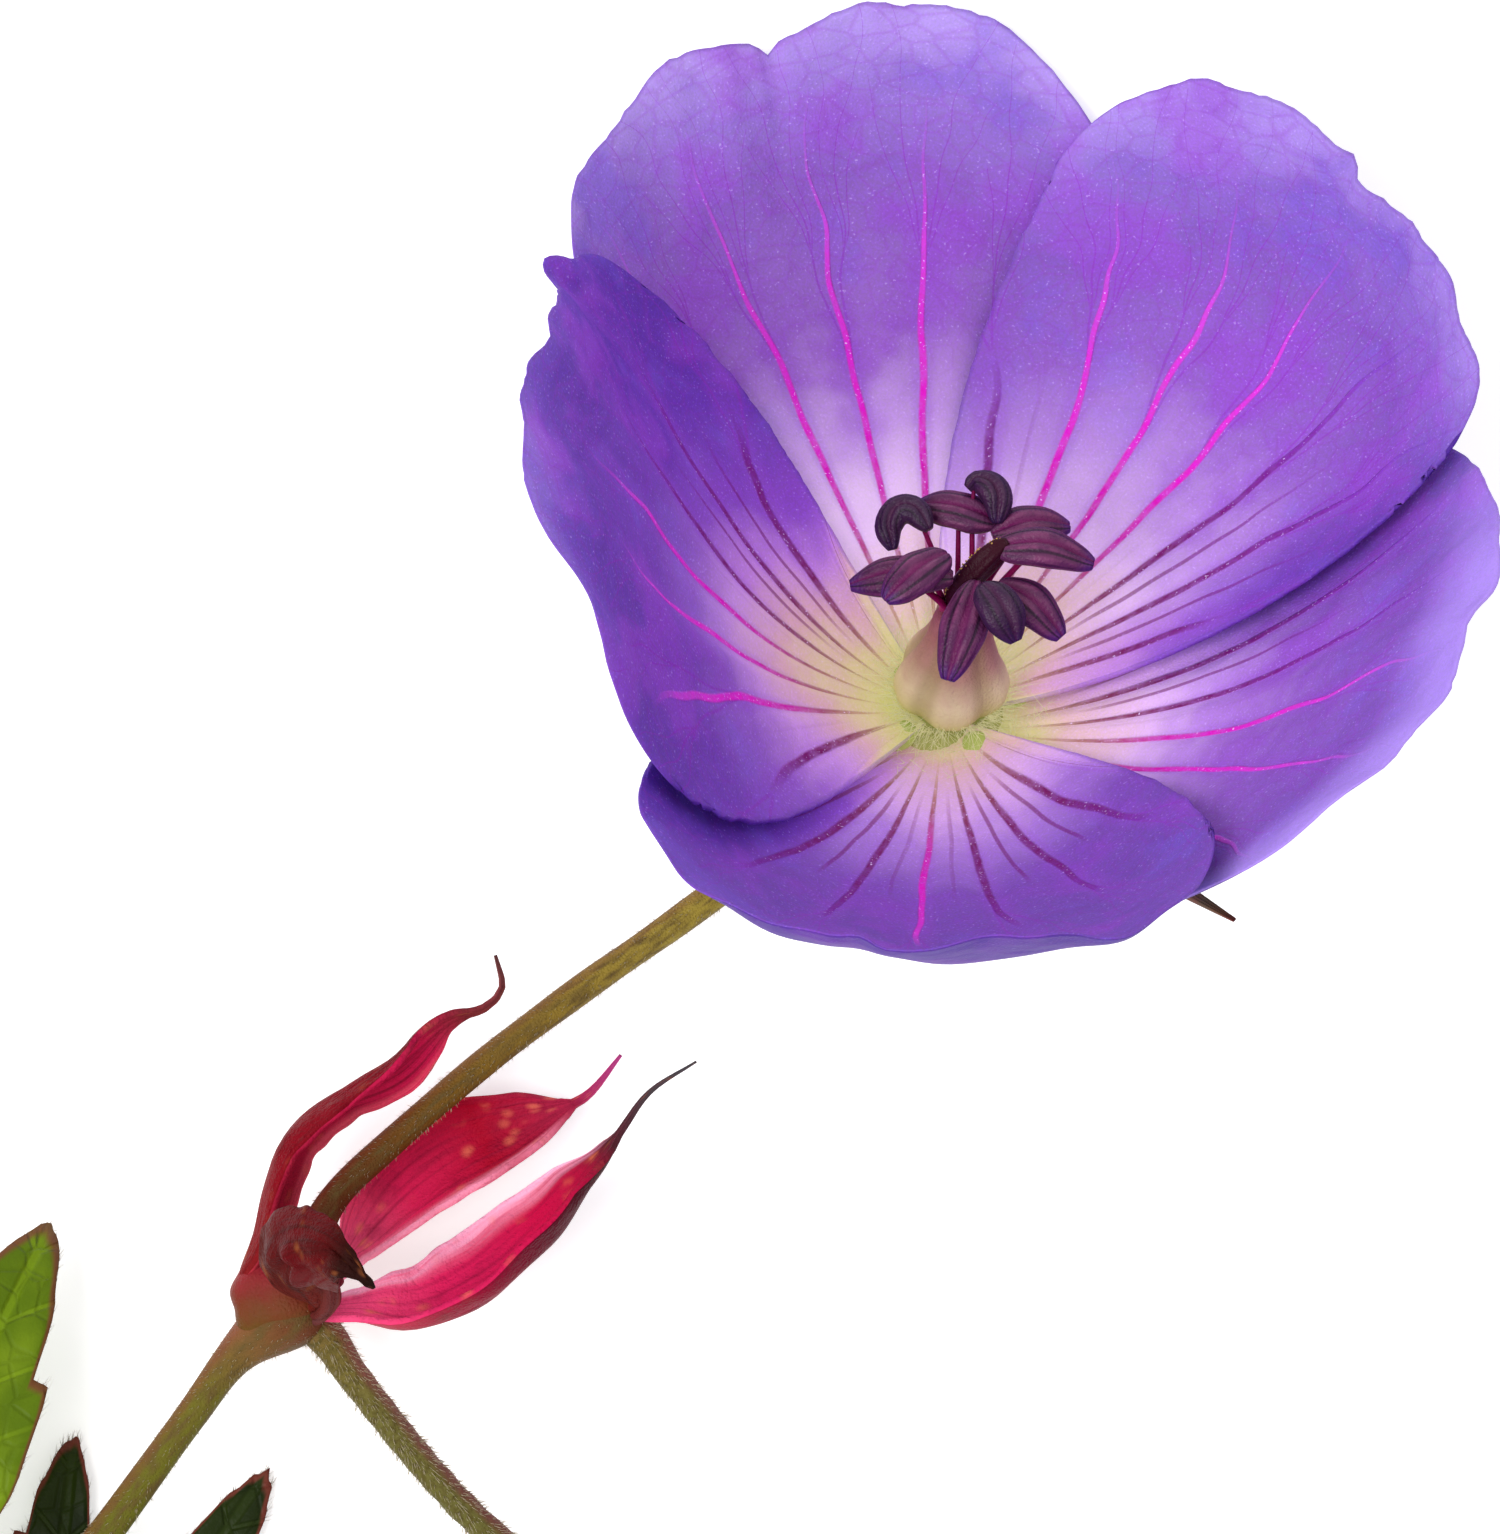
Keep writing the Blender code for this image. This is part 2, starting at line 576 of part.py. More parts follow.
def build_bract(name, keel, hollow, half_width, awn_from, material):
    """A boat-shaped bract along its keel."""
    line = smooth_line(keel, 0.5)
    ahead = tangents(line)
    lengths = np.concatenate([[0.0], np.cumsum(np.linalg.norm(np.diff(line, axis=0), axis=1))])

    def place(u, v):
        spot = np.array([np.interp(v * lengths[-1], lengths, line[:, k]) for k in range(3)])
        along = np.array([np.interp(v * lengths[-1], lengths, ahead[:, k]) for k in range(3)])
        along = along / np.linalg.norm(along)
        inward = np.array(hollow) - along * np.dot(hollow, along)
        inward = inward / np.linalg.norm(inward)
        half = bract_width(v, half_width, awn_from)
        opening = math.radians(BRACT_OPENING) * min(1.0, half / (0.6 * half_width))
        size = half / math.sin(opening)
        swing = opening * u
        return (spot + np.cross(along, inward) * size * math.sin(swing)
                + inward * size * (1 - math.cos(swing)))
    rows = 12 if len(keel) > 4 else 7
    new_object(name, blade(place, 6, rows, BLADE_THICKNESS), material)


def leaf_columns(lobes):
    """Directions and lengths round a leaf's margin, from the first lobe to the last."""
    turn = math.copysign(2 * LEAF_END_SPREAD, lobes[1][0] - lobes[0][0])
    neighbours = [(lobes[0][0] - turn, lobes[0][1])] + list(lobes) + [
        (lobes[-1][0] + turn, lobes[-1][1])]
    columns = []
    for before, lobe, after in zip(neighbours, neighbours[1:], neighbours[2:]):
        for neighbour, half in ((before, LOBE_HALF[::-1]), (after, LOBE_HALF[1:])):
            for share, reach in half:
                facing = lobe[0] + (neighbour[0] - lobe[0]) / 2 * share
                columns.append((facing, lobe[1] * reach))
        columns.pop()
    columns.append((lobes[-1][0] + turn / 2, lobes[-1][1] * LOBE_HALF[-1][1]))
    return columns


def build_leaf(name, eye, petiole, arch, droop, fold, lobes, material):
    """A leaf: short stalk and a palmate blade with toothed lobes, arched down to its tips."""
    columns = leaf_columns(lobes)
    longest = max(length for facing, length in lobes)

    def place(x, v):
        column = (x + 1) / 2 * (len(columns) - 1)
        facing, length = columns[round(column)]
        reach = LEAF_EYE_RADIUS + (length - LEAF_EYE_RADIUS) * v
        off_rib = min(abs(facing - lobe[0]) for lobe in lobes) / LEAF_END_SPREAD
        share = reach / longest
        height = eye[2] + arch * math.sin(math.pi * share) - droop * share ** 2
        height += fold * off_rib * share * math.sin(math.pi * share ** 2)
        turn = math.radians(facing)
        return (eye[0] + reach * math.sin(turn), eye[1] + reach * math.cos(turn),
                max(height, LEAF_REST_HEIGHT))
    sheet = blade(place, len(columns) - 1, LEAF_ROWS, BLADE_THICKNESS)
    middle = lobes[len(lobes) // 2][0]
    inner = (eye[0] + 2.2 * math.sin(math.radians(middle)),
             eye[1] + 2.2 * math.cos(math.radians(middle)), eye[2])
    line = smooth_line([petiole, eye, inner], 1.2)
    stalk = tube(line, np.full(len(line), PETIOLE_RADIUS), 8)
    new_object(name, joined(stalk, [sheet], solver="MANIFOLD"), material)


def build_sprig():
    """Model every piece of the sprig."""
    clear_scene()
    build_petals(make_material("petal_violet", VIOLET))
    calyx = make_material("calyx_green", CALYX_GREEN)
    build_sepals(calyx)
    build_stamens(make_material("stamen_purple", ANTHER_PURPLE))
    build_pistil(make_material("stigma_maroon", STIGMA_MAROON))
    build_stem(make_material("stem_olive", STEM_OLIVE))
    build_bud(make_material("bud_green", BUD_GREEN))
    red = make_material("bract_red", BRACT_RED)
    for name, shape in {**BRACTS, **STIPULES}.items():
        build_bract(name, material=red, **shape)
    green = make_material("leaf_green", LEAF_GREEN)
    for name, shape in LEAVES.items():
        build_leaf(name, material=green, **shape)


build_sprig()
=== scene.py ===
# %% [markdown]
# # A hardy geranium sprig, dressed for the camera
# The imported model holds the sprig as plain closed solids: petals, sepals, stamens, stalks,
# bracts, leaves and a bud, lying on a table as picked. This lesson keeps each solid where it
# is and replaces it with a thinner, finer piece that has the living surface: veins, folds,
# frilled rims and hairs. It starts by loading that model.

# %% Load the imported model
import math

import bmesh
import bpy
import numpy as np
from mathutils import Matrix


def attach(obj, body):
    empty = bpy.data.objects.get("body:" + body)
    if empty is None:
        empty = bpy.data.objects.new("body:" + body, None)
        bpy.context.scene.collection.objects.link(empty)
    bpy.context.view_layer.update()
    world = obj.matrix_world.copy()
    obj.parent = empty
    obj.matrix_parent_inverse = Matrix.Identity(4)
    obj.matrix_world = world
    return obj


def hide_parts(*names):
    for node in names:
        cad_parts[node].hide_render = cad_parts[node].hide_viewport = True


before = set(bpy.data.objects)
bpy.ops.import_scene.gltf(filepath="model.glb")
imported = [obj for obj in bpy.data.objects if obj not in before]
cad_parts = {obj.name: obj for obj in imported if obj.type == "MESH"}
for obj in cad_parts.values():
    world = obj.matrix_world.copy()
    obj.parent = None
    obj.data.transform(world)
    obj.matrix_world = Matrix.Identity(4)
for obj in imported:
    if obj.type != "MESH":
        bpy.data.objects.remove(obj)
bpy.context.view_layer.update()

# %% [markdown]
# ## The measures of the sprig
# A flower is drawn most easily in its own directions: right, up and along its axis. The
# solids were drawn in millimetres from the foot of the flower, the point of the table under
# the base of the petals, so the same numbers are used here and moved to the sprig's middle.

# %% Measures in millimetres
MM = 0.001
FLOWER_FOOT = (25.83, 14.62, 0.0)
FLOWER_HEIGHT = 6.75
FLOWER_TILT = math.radians(36.9)
FLOWER_LEAN = math.radians(4.2)
TABLE_GAP = 0.15
CAMERA_PLACE = (0.017445, 0.012255, 0.35675)
CAMERA_LENS_MM = 191.0
chance = np.random.default_rng(31)


def flower_axes():
    """Right, up and axis directions of the flower."""
    axis = np.array((math.sin(FLOWER_LEAN) * math.sin(FLOWER_TILT),
                     math.cos(FLOWER_LEAN) * math.sin(FLOWER_TILT), math.cos(FLOWER_TILT)))
    up = np.array((0.0, math.cos(FLOWER_TILT), -math.sin(FLOWER_TILT)))
    up = up - axis * up.dot(axis)
    up = up / np.linalg.norm(up)
    return np.cross(up, axis), up, axis


RIGHT, UP, AXIS = flower_axes()


def in_flower(x, y, height):
    """Points given in the flower's own directions; the three may be rows of numbers."""
    return (np.multiply.outer(x, RIGHT) + np.multiply.outer(y, UP)
            + np.multiply.outer(height, AXIS) + np.array((0.0, 0.0, FLOWER_HEIGHT)))


print("flower axis:", np.round(AXIS, 3))

# %% [markdown]
# ## The camera
# The photograph looks down into the tilted flower from about a third of a metre above it. A
# long lens with a 36 mm sensor along the tall side gives the same view, and the depth of
# field stays off so that every other view is sharp as well.

# %% Camera
camera_data = bpy.data.cameras.new("photo_camera")
camera_data.sensor_fit = "VERTICAL"
camera_data.sensor_height = 36.0
camera_data.lens = CAMERA_LENS_MM
camera_data.clip_start = 0.01
camera_data.clip_end = 20.0
camera = bpy.data.objects.new("photo_camera", camera_data)
camera.location = CAMERA_PLACE
bpy.context.scene.collection.objects.link(camera)
bpy.context.scene.camera = camera
print("camera height:", camera.location.z)

# %% [markdown]
# ## The table
# A studio product table is a plain white sheet under a big soft lamp. The sheet is one grid
# of a single face, and it glows faintly so that it stays pale under the sprig. It is stage,
# not part of the plant.

# %% Table
WHITE = (1.0, 1.0, 1.0, 1.0)
TABLE_GLOW = 0.45
scene = bpy.context.scene


def white_table():
    """A large square sheet just under the sprig."""
    bm = bmesh.new()
    bmesh.ops.create_grid(bm, x_segments=1, y_segments=1, size=3.0)
    bmesh.ops.translate(bm, vec=(0.0, 0.0, -0.0001), verts=bm.verts)
    mesh = bpy.data.meshes.new("table_sheet")
    bm.to_mesh(mesh)
    bm.free()
    material = bpy.data.materials.new("table_white")
    material.use_nodes = True
    shader = material.node_tree.nodes["Principled BSDF"]
    shader.inputs["Base Color"].default_value = (0.93, 0.93, 0.93, 1.0)
    shader.inputs["Roughness"].default_value = 0.9
    shader.inputs["Emission Color"].default_value = WHITE
    shader.inputs["Emission Strength"].default_value = TABLE_GLOW
    mesh.materials.append(material)
    table = bpy.data.objects.new("table_sheet", mesh)
    scene.collection.objects.link(table)


white_table()
print("glow of the table:", TABLE_GLOW)

# %% [markdown]
# ## The light
# A soft lamp shines from the left, and a wider and weaker one fills in from the far right.
# The white surroundings light the backs of the petals too, which gives them the glow of the
# photograph. Colours are shown plainly, without a film look, because violet is the first
# colour that a film look makes grey.

# %% Lamps and surroundings
SKY_STRENGTH = 0.72
scene.view_settings.view_transform = "Standard"


def soft_lamp(name, place, size, watts):
    """A square area lamp that looks at the sprig."""
    data = bpy.data.lights.new(name, "AREA")
    data.size = size
    data.energy = watts
    lamp = bpy.data.objects.new(name, data)
    lamp.location = place
    aim = -lamp.location
    lamp.rotation_euler = aim.to_track_quat("-Z", "Y").to_euler()
    scene.collection.objects.link(lamp)


soft_lamp("key_lamp", (-0.3, -0.06, 0.56), 0.4, 3.0)
soft_lamp("fill_lamp", (0.4, 0.4, 0.5), 0.6, 0.6)
world = bpy.data.worlds.new("studio_white")
world.use_nodes = True
sky = world.node_tree.nodes["Background"].inputs
sky["Color"].default_value = WHITE
sky["Strength"].default_value = SKY_STRENGTH
scene.world = world

# %% [markdown]
# ## Sheets and tubes
# Everything that grows on this plant is either a thin sheet or a tapering tube. Both can
# start from one flat grid: a sheet is the grid bent in space, and a tube is the grid rolled
# up, with its two long edges welded and its ends closed. Each grid vertex knows its share
# across and its share along, so a formula places it, and the same shares become a UV map
# that later carries the veins.

# %% Grid, map and weld
def sheet(columns, rows):
    """A flat grid, and each vertex's share across and along."""
    bm = bmesh.new()
    bmesh.ops.create_grid(bm, x_segments=columns, y_segments=rows, size=1.0)
    bm.verts.index_update()
    flat = np.array([vert.co[:2] for vert in bm.verts])
    return bm, (flat[:, 0] + 1) / 2, (flat[:, 1] + 1) / 2


def write_map(bm, name, first, second):
    """Store two numbers per vertex as a UV map."""
    layer = bm.loops.layers.uv.new(name)
    pairs = list(zip(first.tolist(), second.tolist()))
    for face in bm.faces:
        for loop in face.loops:
            loop[layer].uv = pairs[loop.vert.index]


def move(bm, places):
    """Put each vertex at its place."""
    for vert, place in zip(bm.verts, places.tolist()):
        vert.co = place


def close_tube(bm):
    """Weld the seam of a rolled grid and close its ends."""
    bmesh.ops.remove_doubles(bm, verts=bm.verts[:], dist=0.0005)
    open_edges = [edge for edge in bm.edges if edge.is_boundary]
    bmesh.ops.holes_fill(bm, edges=open_edges, sides=0)
    bmesh.ops.recalc_face_normals(bm, faces=bm.faces[:])


sample = sheet(4, 3)[0]
print("a grid of 4 by 3 faces has", len(sample.verts), "vertices")
sample.free()

# %% [markdown]
# A finished piece leaves the millimetre world in one place: it is settled on the table,
# moved to the sprig's frame, turned into metres and hung under the sprig's root, and the
# solid it stands for is hidden. Blades get their thickness from a Solidify modifier, whose
# second material can dress the back.

# %% Finished pieces
def thin_out(bm, weights):
    """Store how much of the wall's thickness each vertex keeps."""
    layer = bm.verts.layers.deform.verify()
    for vert, weight in zip(bm.verts, weights.tolist()):
        vert[layer][0] = weight


def piece(name, bm, node, materials, thickness=0.0, floor=0.0):
    """Make the object of a finished mesh and hide the solid that it replaces."""
    for vert in bm.verts:
        vert.co.z = max(vert.co.z, floor)
    bmesh.ops.translate(bm, vec=FLOWER_FOOT, verts=bm.verts)
    bmesh.ops.scale(bm, vec=(MM, MM, MM), verts=bm.verts)
    mesh = bpy.data.meshes.new(name)
    bm.to_mesh(mesh)
    bm.free()
    for material in materials:
        mesh.materials.append(material)
    mesh.shade_smooth()
    obj = bpy.data.objects.new(name, mesh)
    scene.collection.objects.link(obj)
    if thickness:
        wall = obj.modifiers.new("wall", "SOLIDIFY")
        wall.thickness = thickness * MM
        wall.offset = 0.0
        wall.material_offset = len(materials) - 1
        obj.vertex_groups.new(name="wall")
        wall.vertex_group = "wall"
    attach(obj, "root")
    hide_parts(*([node] if isinstance(node, str) else node))
    return obj


print("one sprig millimetre in metres:", MM)

# %% [markdown]
# A stalk, a filament or an anther follows a line in space. A Catmull-Rom curve runs smoothly
# through a few measured points, and at each spot of it two side directions carry the tube's
# cross-section.

# %% Smooth lines
def smooth_line(points, step):
    """Points about one step apart on a smooth curve through the given rows of numbers."""
    rows = np.array(points, float)
    padded = np.vstack([2 * rows[0] - rows[1], rows, 2 * rows[-1] - rows[-2]])
    line = []
    for i in range(1, len(padded) - 2):
        before, start, end, after = padded[i - 1:i + 3]
        count = max(1, round(float(np.linalg.norm((end - start)[:3])) / step))
        for t in np.arange(count) / count:
            line.append(0.5 * (2 * start + (end - before) * t
                               + (2 * before - 5 * start + 4 * end - after) * t ** 2
                               + (3 * start - before - 3 * end + after) * t ** 3))
    line.append(rows[-1])
    return np.array(line)


def unit(rows):
    """Rows of directions, each made one long."""
    return rows / np.linalg.norm(rows, axis=-1, keepdims=True)


def shares_along(line):
    """Each point's share of the way along a line."""
    steps = np.linalg.norm(np.diff(line[:, :3], axis=0), axis=1)
    return np.concatenate([[0.0], np.cumsum(steps)]) / steps.sum()


def look_up(where, shares, rows):
    """Rows of numbers read off at the given shares."""
    return np.stack([np.interp(where, shares, rows[:, k]) for k in range(rows.shape[1])], axis=1)


def along_line(line, where, up):
    """Spots, side directions and top directions at the given shares of a line."""
    shares = shares_along(line)
    ahead = unit(np.gradient(line[:, :3], axis=0))
    top = unit(np.array(up) - ahead * (ahead @ np.array(up))[:, None])
    side = np.cross(top, ahead)
    return look_up(where, shares, line), look_up(where, shares, side), look_up(where, shares, top)


print("points on a bent line:", len(smooth_line(((0, 0, 0), (0, 5, 2), (0, 9, 0)), 0.5)))

# %% [markdown]
# A tube is a grid rolled round such a line. Its cross-section is a small rule for how wide
# and how deep it is at each angle, so one helper makes round stalks, flat filaments and
# two-lobed anthers. A ripple made of a few random waves keeps everything slightly uneven,
# as growth does.

# %% Tubes, joined meshes and ripples
def tube(line, sides, rows, section, up=(0.0, 0.0, 1.0)):
    """A closed tube; section gives its half width and half depth from angle, share and size."""
    bm, turn, along = sheet(sides, rows)
    spots, side, top = along_line(line, along, up)
    angle = 2 * np.pi * turn
    wide, deep = section(angle, along, spots[:, 3])
    places = spots[:, :3] + side * (wide * np.cos(angle))[:, None]
    places = places + top * (deep * np.sin(angle))[:, None]
    move(bm, places)
    write_map(bm, "skin", turn, along)
    close_tube(bm)
    return bm


def spots_round(line, where, angle, up=(0.0, 0.0, 1.0)):
    """Middles, radii, outward and forward directions at shares and angles of a tube."""
    spots, side, top = along_line(line, where, up)
    out = side * np.cos(angle)[:, None] + top * np.sin(angle)[:, None]
    return spots[:, :3], spots[:, 3:], out, unit(np.cross(side, top))


def merge(bodies):
    """Several meshes as one."""
    first = bodies[0]
    for other in bodies[1:]:
        mesh = bpy.data.meshes.new("part")
        other.to_mesh(mesh)
        other.free()
        first.from_mesh(mesh)
        bpy.data.meshes.remove(mesh)
    return first


def waves(values, seed, pieces, rate):
    """A soft random ripple between about -1 and 1 along rows of numbers."""
    random = np.random.default_rng(seed)
    total = np.zeros_like(values)
    for _ in range(pieces):
        total += np.sin(values * rate * random.uniform(0.5, 1.6) + random.uniform(0, 6.3))
    return total / math.sqrt(pieces / 2) / 1.6


print("a ripple at five spots:", waves(np.arange(5.0), 1, 6, 1.0).round(2))

# %% [markdown]
# Hairs and pollen come by the hundred. One small closed shape is made with an operator and
# then laid out many times, each copy stretched, turned and bent to its own place. Thousands
# of single operator calls would be slow, so the copies' corners are worked out in one go as
# rows of numbers. Tiny tapered spikes keep their form in the exported mesh, which particle
# hair doesn't.

# %% Balls, spikes and strewn copies
def ball(subdivisions):
    """A closed ball with a radius of one."""
    bm = bmesh.new()
    bmesh.ops.create_icosphere(bm, subdivisions=subdivisions, radius=1.0)
    return bm


def corners(bm):
    """The places of a mesh's vertices as rows of numbers."""
    return np.array([vert.co for vert in bm.verts])


def spike(sides, rows):
    """A closed tapering hair from the origin up to one high."""
    line = np.array([(0.0, 0.0, 0.0, 1.0), (0.0, 0.0, 1.0, 0.12)])
    return tube(line, sides, rows, lambda angle, along, size: (size, size), up=(1.0, 0.0, 0.0))


def strewn(shape, bases, aims, lengths, widths, bends):
    """Many copies of a small shape, each with its base, direction, length, width and bend."""
    shape.verts.index_update()
    small = corners(shape)
    rings = [[vert.index for vert in face.verts] for face in shape.faces]
    shape.free()
    aims = unit(aims)
    side = unit(np.cross(aims, chance.normal(size=aims.shape)))
    other = np.cross(aims, side)
    places = (bases[:, None, :]
              + aims[:, None, :] * (small[None, :, 2:] * lengths[:, None, None])
              + side[:, None, :] * (small[None, :, :1] * widths[:, None, None])
              + other[:, None, :] * (small[None, :, 1:2] * widths[:, None, None])
              + bends[:, None, :] * small[None, :, 2:] ** 2)
    faces = [[corner + copy * len(small) for corner in face]
             for copy in range(len(bases)) for face in rings]
    mesh = bpy.data.meshes.new("copies")
    mesh.from_pydata(places.reshape(-1, 3).tolist(), [], faces)
    bm = bmesh.new()
    bm.from_mesh(mesh)
    bpy.data.meshes.remove(mesh)
    return bm


hair = spike(3, 2)
print("a short hair has", len(hair.faces), "faces")
hair.free()

# %% [markdown]
# ## Nodes in a maker's words
# A material is a small network. These helpers add one node at a time and hand back its
# output, so a finish reads as a few short sentences. Colours are given as they look on a
# screen and turned into the linear values that the renderer wants.

# %% Colours and nodes
def ink(red, green, blue):
    """A screen colour from 0 to 255 as linear colour."""
    levels = [level / 255 for level in (red, green, blue)]
    return (*[c / 12.92 if c <= 0.04045 else ((c + 0.055) / 1.055) ** 2.4 for c in levels], 1.0)


def scaled(colour, share):
    """A screen colour made darker or lighter."""
    return tuple(share * level for level in colour)


def add_node(tree, kind, inputs, **settings):
    """A node with its settings, and its inputs filled or joined by name or number."""
    node = tree.nodes.new(kind)
    for key, value in settings.items():
        setattr(node, key, value)
    for key, value in inputs.items():
        if isinstance(value, bpy.types.NodeSocket):
            tree.links.new(value, node.inputs[key])
        else:
            node.inputs[key].default_value = value
    return node


print("screen grey 128 in linear light:", round(ink(128, 128, 128)[0], 3))

# %% [markdown]
# A mask is worked out by Math nodes, one for each step. A short helper for each kind of sum
# keeps the finishes readable.

# %% Sums
def maths(tree, operation, first, second=0.0, third=0.0):
    """One step of arithmetic."""
    inputs = {0: first, 1: second, 2: third}
    return add_node(tree, "ShaderNodeMath", inputs, operation=operation).outputs[0]


def times(tree, first, second):
    """The product of two values."""
    return maths(tree, "MULTIPLY", first, second)


def plus(tree, first, second):
    """The sum of two values."""
    return maths(tree, "ADD", first, second)


def minus(tree, first, second):
    """The first value less the second."""
    return maths(tree, "SUBTRACT", first, second)


def times_plus(tree, first, factor, added):
    """A value times a factor, with another value added."""
    return maths(tree, "MULTIPLY_ADD", first, factor, added)


def beside(tree, value, line):
    """How far a value is from a line's own value."""
    return maths(tree, "ABSOLUTE", minus(tree, value, line))


print("sums:", [helper.__name__ for helper in (times, plus, minus, times_plus, beside)])

# %% [markdown]
# Nearly every layer of a finish is a mask and a colour. A mask fades in between two values,
# and may be multiplied by another, and a tint lays its colour on where the mask is white. A
# row of colours serves where a colour changes along the way.

# %% Masks, tints and colour rows
def fade(tree, value, low, high):
    """0 at low, 1 at high, soft between."""
    inputs = {"Value": value, "From Min": low, "From Max": high}
    return add_node(tree, "ShaderNodeMapRange", inputs,
                    interpolation_type="SMOOTHSTEP").outputs[0]


def blend(tree, share, under, over, way="MIX"):
    """One colour laid over another."""
    return add_node(tree, "ShaderNodeMix", {0: share, 6: under, 7: over},
                    data_type="RGBA", blend_type=way).outputs[2]


def tint(tree, base, mask, share, colour, way="MIX"):
    """A screen colour laid over the base where the mask is white, up to a share."""
    return blend(tree, times(tree, mask, share), base, ink(*colour), way)


def colour_row(tree, value, stops):
    """Colours along a value from 0 to 1."""
    node = add_node(tree, "ShaderNodeValToRGB", {0: value})
    ramp = node.color_ramp
    for _ in stops[2:]:
        ramp.elements.new(0.5)
    for element, (place, colour) in zip(ramp.elements, stops):
        element.position = place
        element.color = ink(*colour)
    return node.outputs[0]


print("each tint adds 2 nodes: one for its mask and one for its colour")

# %% [markdown]
# Patterns read a place: the object coordinates for skin and clouds, or a map of the piece's
# own where they follow its growth. Stretching a map's numbers turns round noise into long
# streaks.

# %% Noise and maps
def noise(tree, vector, scale, detail=2.0, roughness=0.5):
    """Soft noise."""
    inputs = {"Vector": vector, "Scale": scale, "Detail": detail, "Roughness": roughness}
    return add_node(tree, "ShaderNodeTexNoise", inputs).outputs[0]


def two_numbers(tree, map_name):
    """The two numbers of a UV map."""
    vector = add_node(tree, "ShaderNodeUVMap", {}, uv_map=map_name).outputs[0]
    parts = add_node(tree, "ShaderNodeSeparateXYZ", {0: vector})
    return vector, parts.outputs[0], parts.outputs[1]


def stretched(tree, vector, across, along, shift=0.0):
    """A vector stretched by its own numbers."""
    inputs = {"Vector": vector, "Scale": (across, along, 1.0), "Location": (shift, shift, 0.0)}
    return add_node(tree, "ShaderNodeMapping", inputs).outputs[0]


print("noise scale for cells of 0.12 mm:", round(1 / (0.12 * MM)))

# %% [markdown]
# Every finish starts from the same plain skin and ends with its colour and a shallow relief.
# Thin tissue also glows faintly in its own colour, which stands in for the light from
# behind and is much quicker than scattering light inside it.

# %% Finishes
def new_finish(name, roughness, gloss=0.1):
    """A material with its network and the object coordinates."""
    material = bpy.data.materials.new(name)
    material.use_nodes = True
    tree = material.node_tree
    shader = tree.nodes["Principled BSDF"]
    shader.inputs["Roughness"].default_value = roughness
    shader.inputs["Specular IOR Level"].default_value = gloss
    where = add_node(tree, "ShaderNodeTexCoord", {}).outputs["Object"]
    return material, tree, where


def dress(material, base, height, depth):
    """Join a finish's colour and its bump, whose depth is in millimetres, to the shader."""
    tree = material.node_tree
    shader = tree.nodes["Principled BSDF"]
    tree.links.new(base, shader.inputs["Base Color"])
    bump = add_node(tree, "ShaderNodeBump", {"Height": height, "Distance": depth * MM})
    tree.links.new(bump.outputs[0], shader.inputs["Normal"])
    return material


def shine_through(material, colour, strength):
    """A faint glow of its own colour, as of thin tissue lit from behind."""
    tree = material.node_tree
    shader = tree.nodes["Principled BSDF"]
    tree.links.new(colour, shader.inputs["Emission Color"])
    shader.inputs["Emission Strength"].default_value = strength


print("finishes so far:", len(bpy.data.materials))

# %% [markdown]
# An effect that several finishes share is built once as a node group with named sockets, and
# then placed in each material with its own values. A change to the group shows in all of them.

# %% Shared effects
def use_group(tree, group, inputs):
    """Place a shared effect in a material."""
    return add_node(tree, "ShaderNodeGroup", inputs, node_tree=group).outputs


def new_group(name, inputs, outputs):
    """An empty shared effect with named sockets."""
    group = bpy.data.node_groups.new(name, "ShaderNodeTree")
    for socket, kind, value in inputs:
        made = group.interface.new_socket(socket, in_out="INPUT", socket_type=kind)
        if value is not None:
            made.default_value = value
    for socket in outputs:
        group.interface.new_socket(socket, in_out="OUTPUT", socket_type="NodeSocketFloat")
    entry = group.nodes.new("NodeGroupInput").outputs
    leave = group.nodes.new("NodeGroupOutput").inputs
    return group, entry, leave


print("shared effects so far:", len(bpy.data.node_groups))

# %% [markdown]
# ## Shared effect: living skin
# Petals, bracts and leaves all have a skin of tiny domed cells under clouds of uneven
# pigment. One group gives both, with the size of each in millimetres, and a third output with
# a few bright cells, which the petals use for painted glints. It is used in every blade, each
# time with its own sizes.

# %% Living skin group
def make_living_skin():
    """Fine cells, soft clouds and scattered glints from object coordinates."""
    group, entry, leave = new_group(
        "living_skin",
        [("Vector", "NodeSocketVector", None), ("Cell Size", "NodeSocketFloat", 0.15),
         ("Cloud Size", "NodeSocketFloat", 3.0)],
        ["Cells", "Clouds", "Glints"])
    per_cell = maths(group, "DIVIDE", 1000.0, entry["Cell Size"])
    per_cloud = maths(group, "DIVIDE", 1000.0, entry["Cloud Size"])
    cells = noise(group, entry["Vector"], per_cell, 1.0)
    clouds = noise(group, entry["Vector"], per_cloud, 3.0, 0.6)
    group.links.new(cells, leave["Cells"])
    group.links.new(clouds, leave["Clouds"])
    group.links.new(fade(group, cells, 0.66, 0.78), leave["Glints"])
    return group


living_skin = make_living_skin()
print("group:", living_skin.name)

# %% [markdown]
# ## Shared effect: fanning veins
# A petal's veins leave its claw like the ribs of a fan and fork further out. On a map whose
# first number counts the ribs and whose second is the reach, a rib is simply where the first
# number is whole, and a fork is the same line moved aside by an amount that grows with the
# reach. A little noise lets the ribs sway, and a random number for each lets it fork early
# or late. Working in such a map is much lighter than modelling hundreds of hair-thin ridges,
# and it stays sharp at any size. The petals and the bud use it.

# %% Fanning veins group
RAY_SPREAD = math.radians(12.0)
REACH_MM = 30.0
FAN_START_MM = 1.5


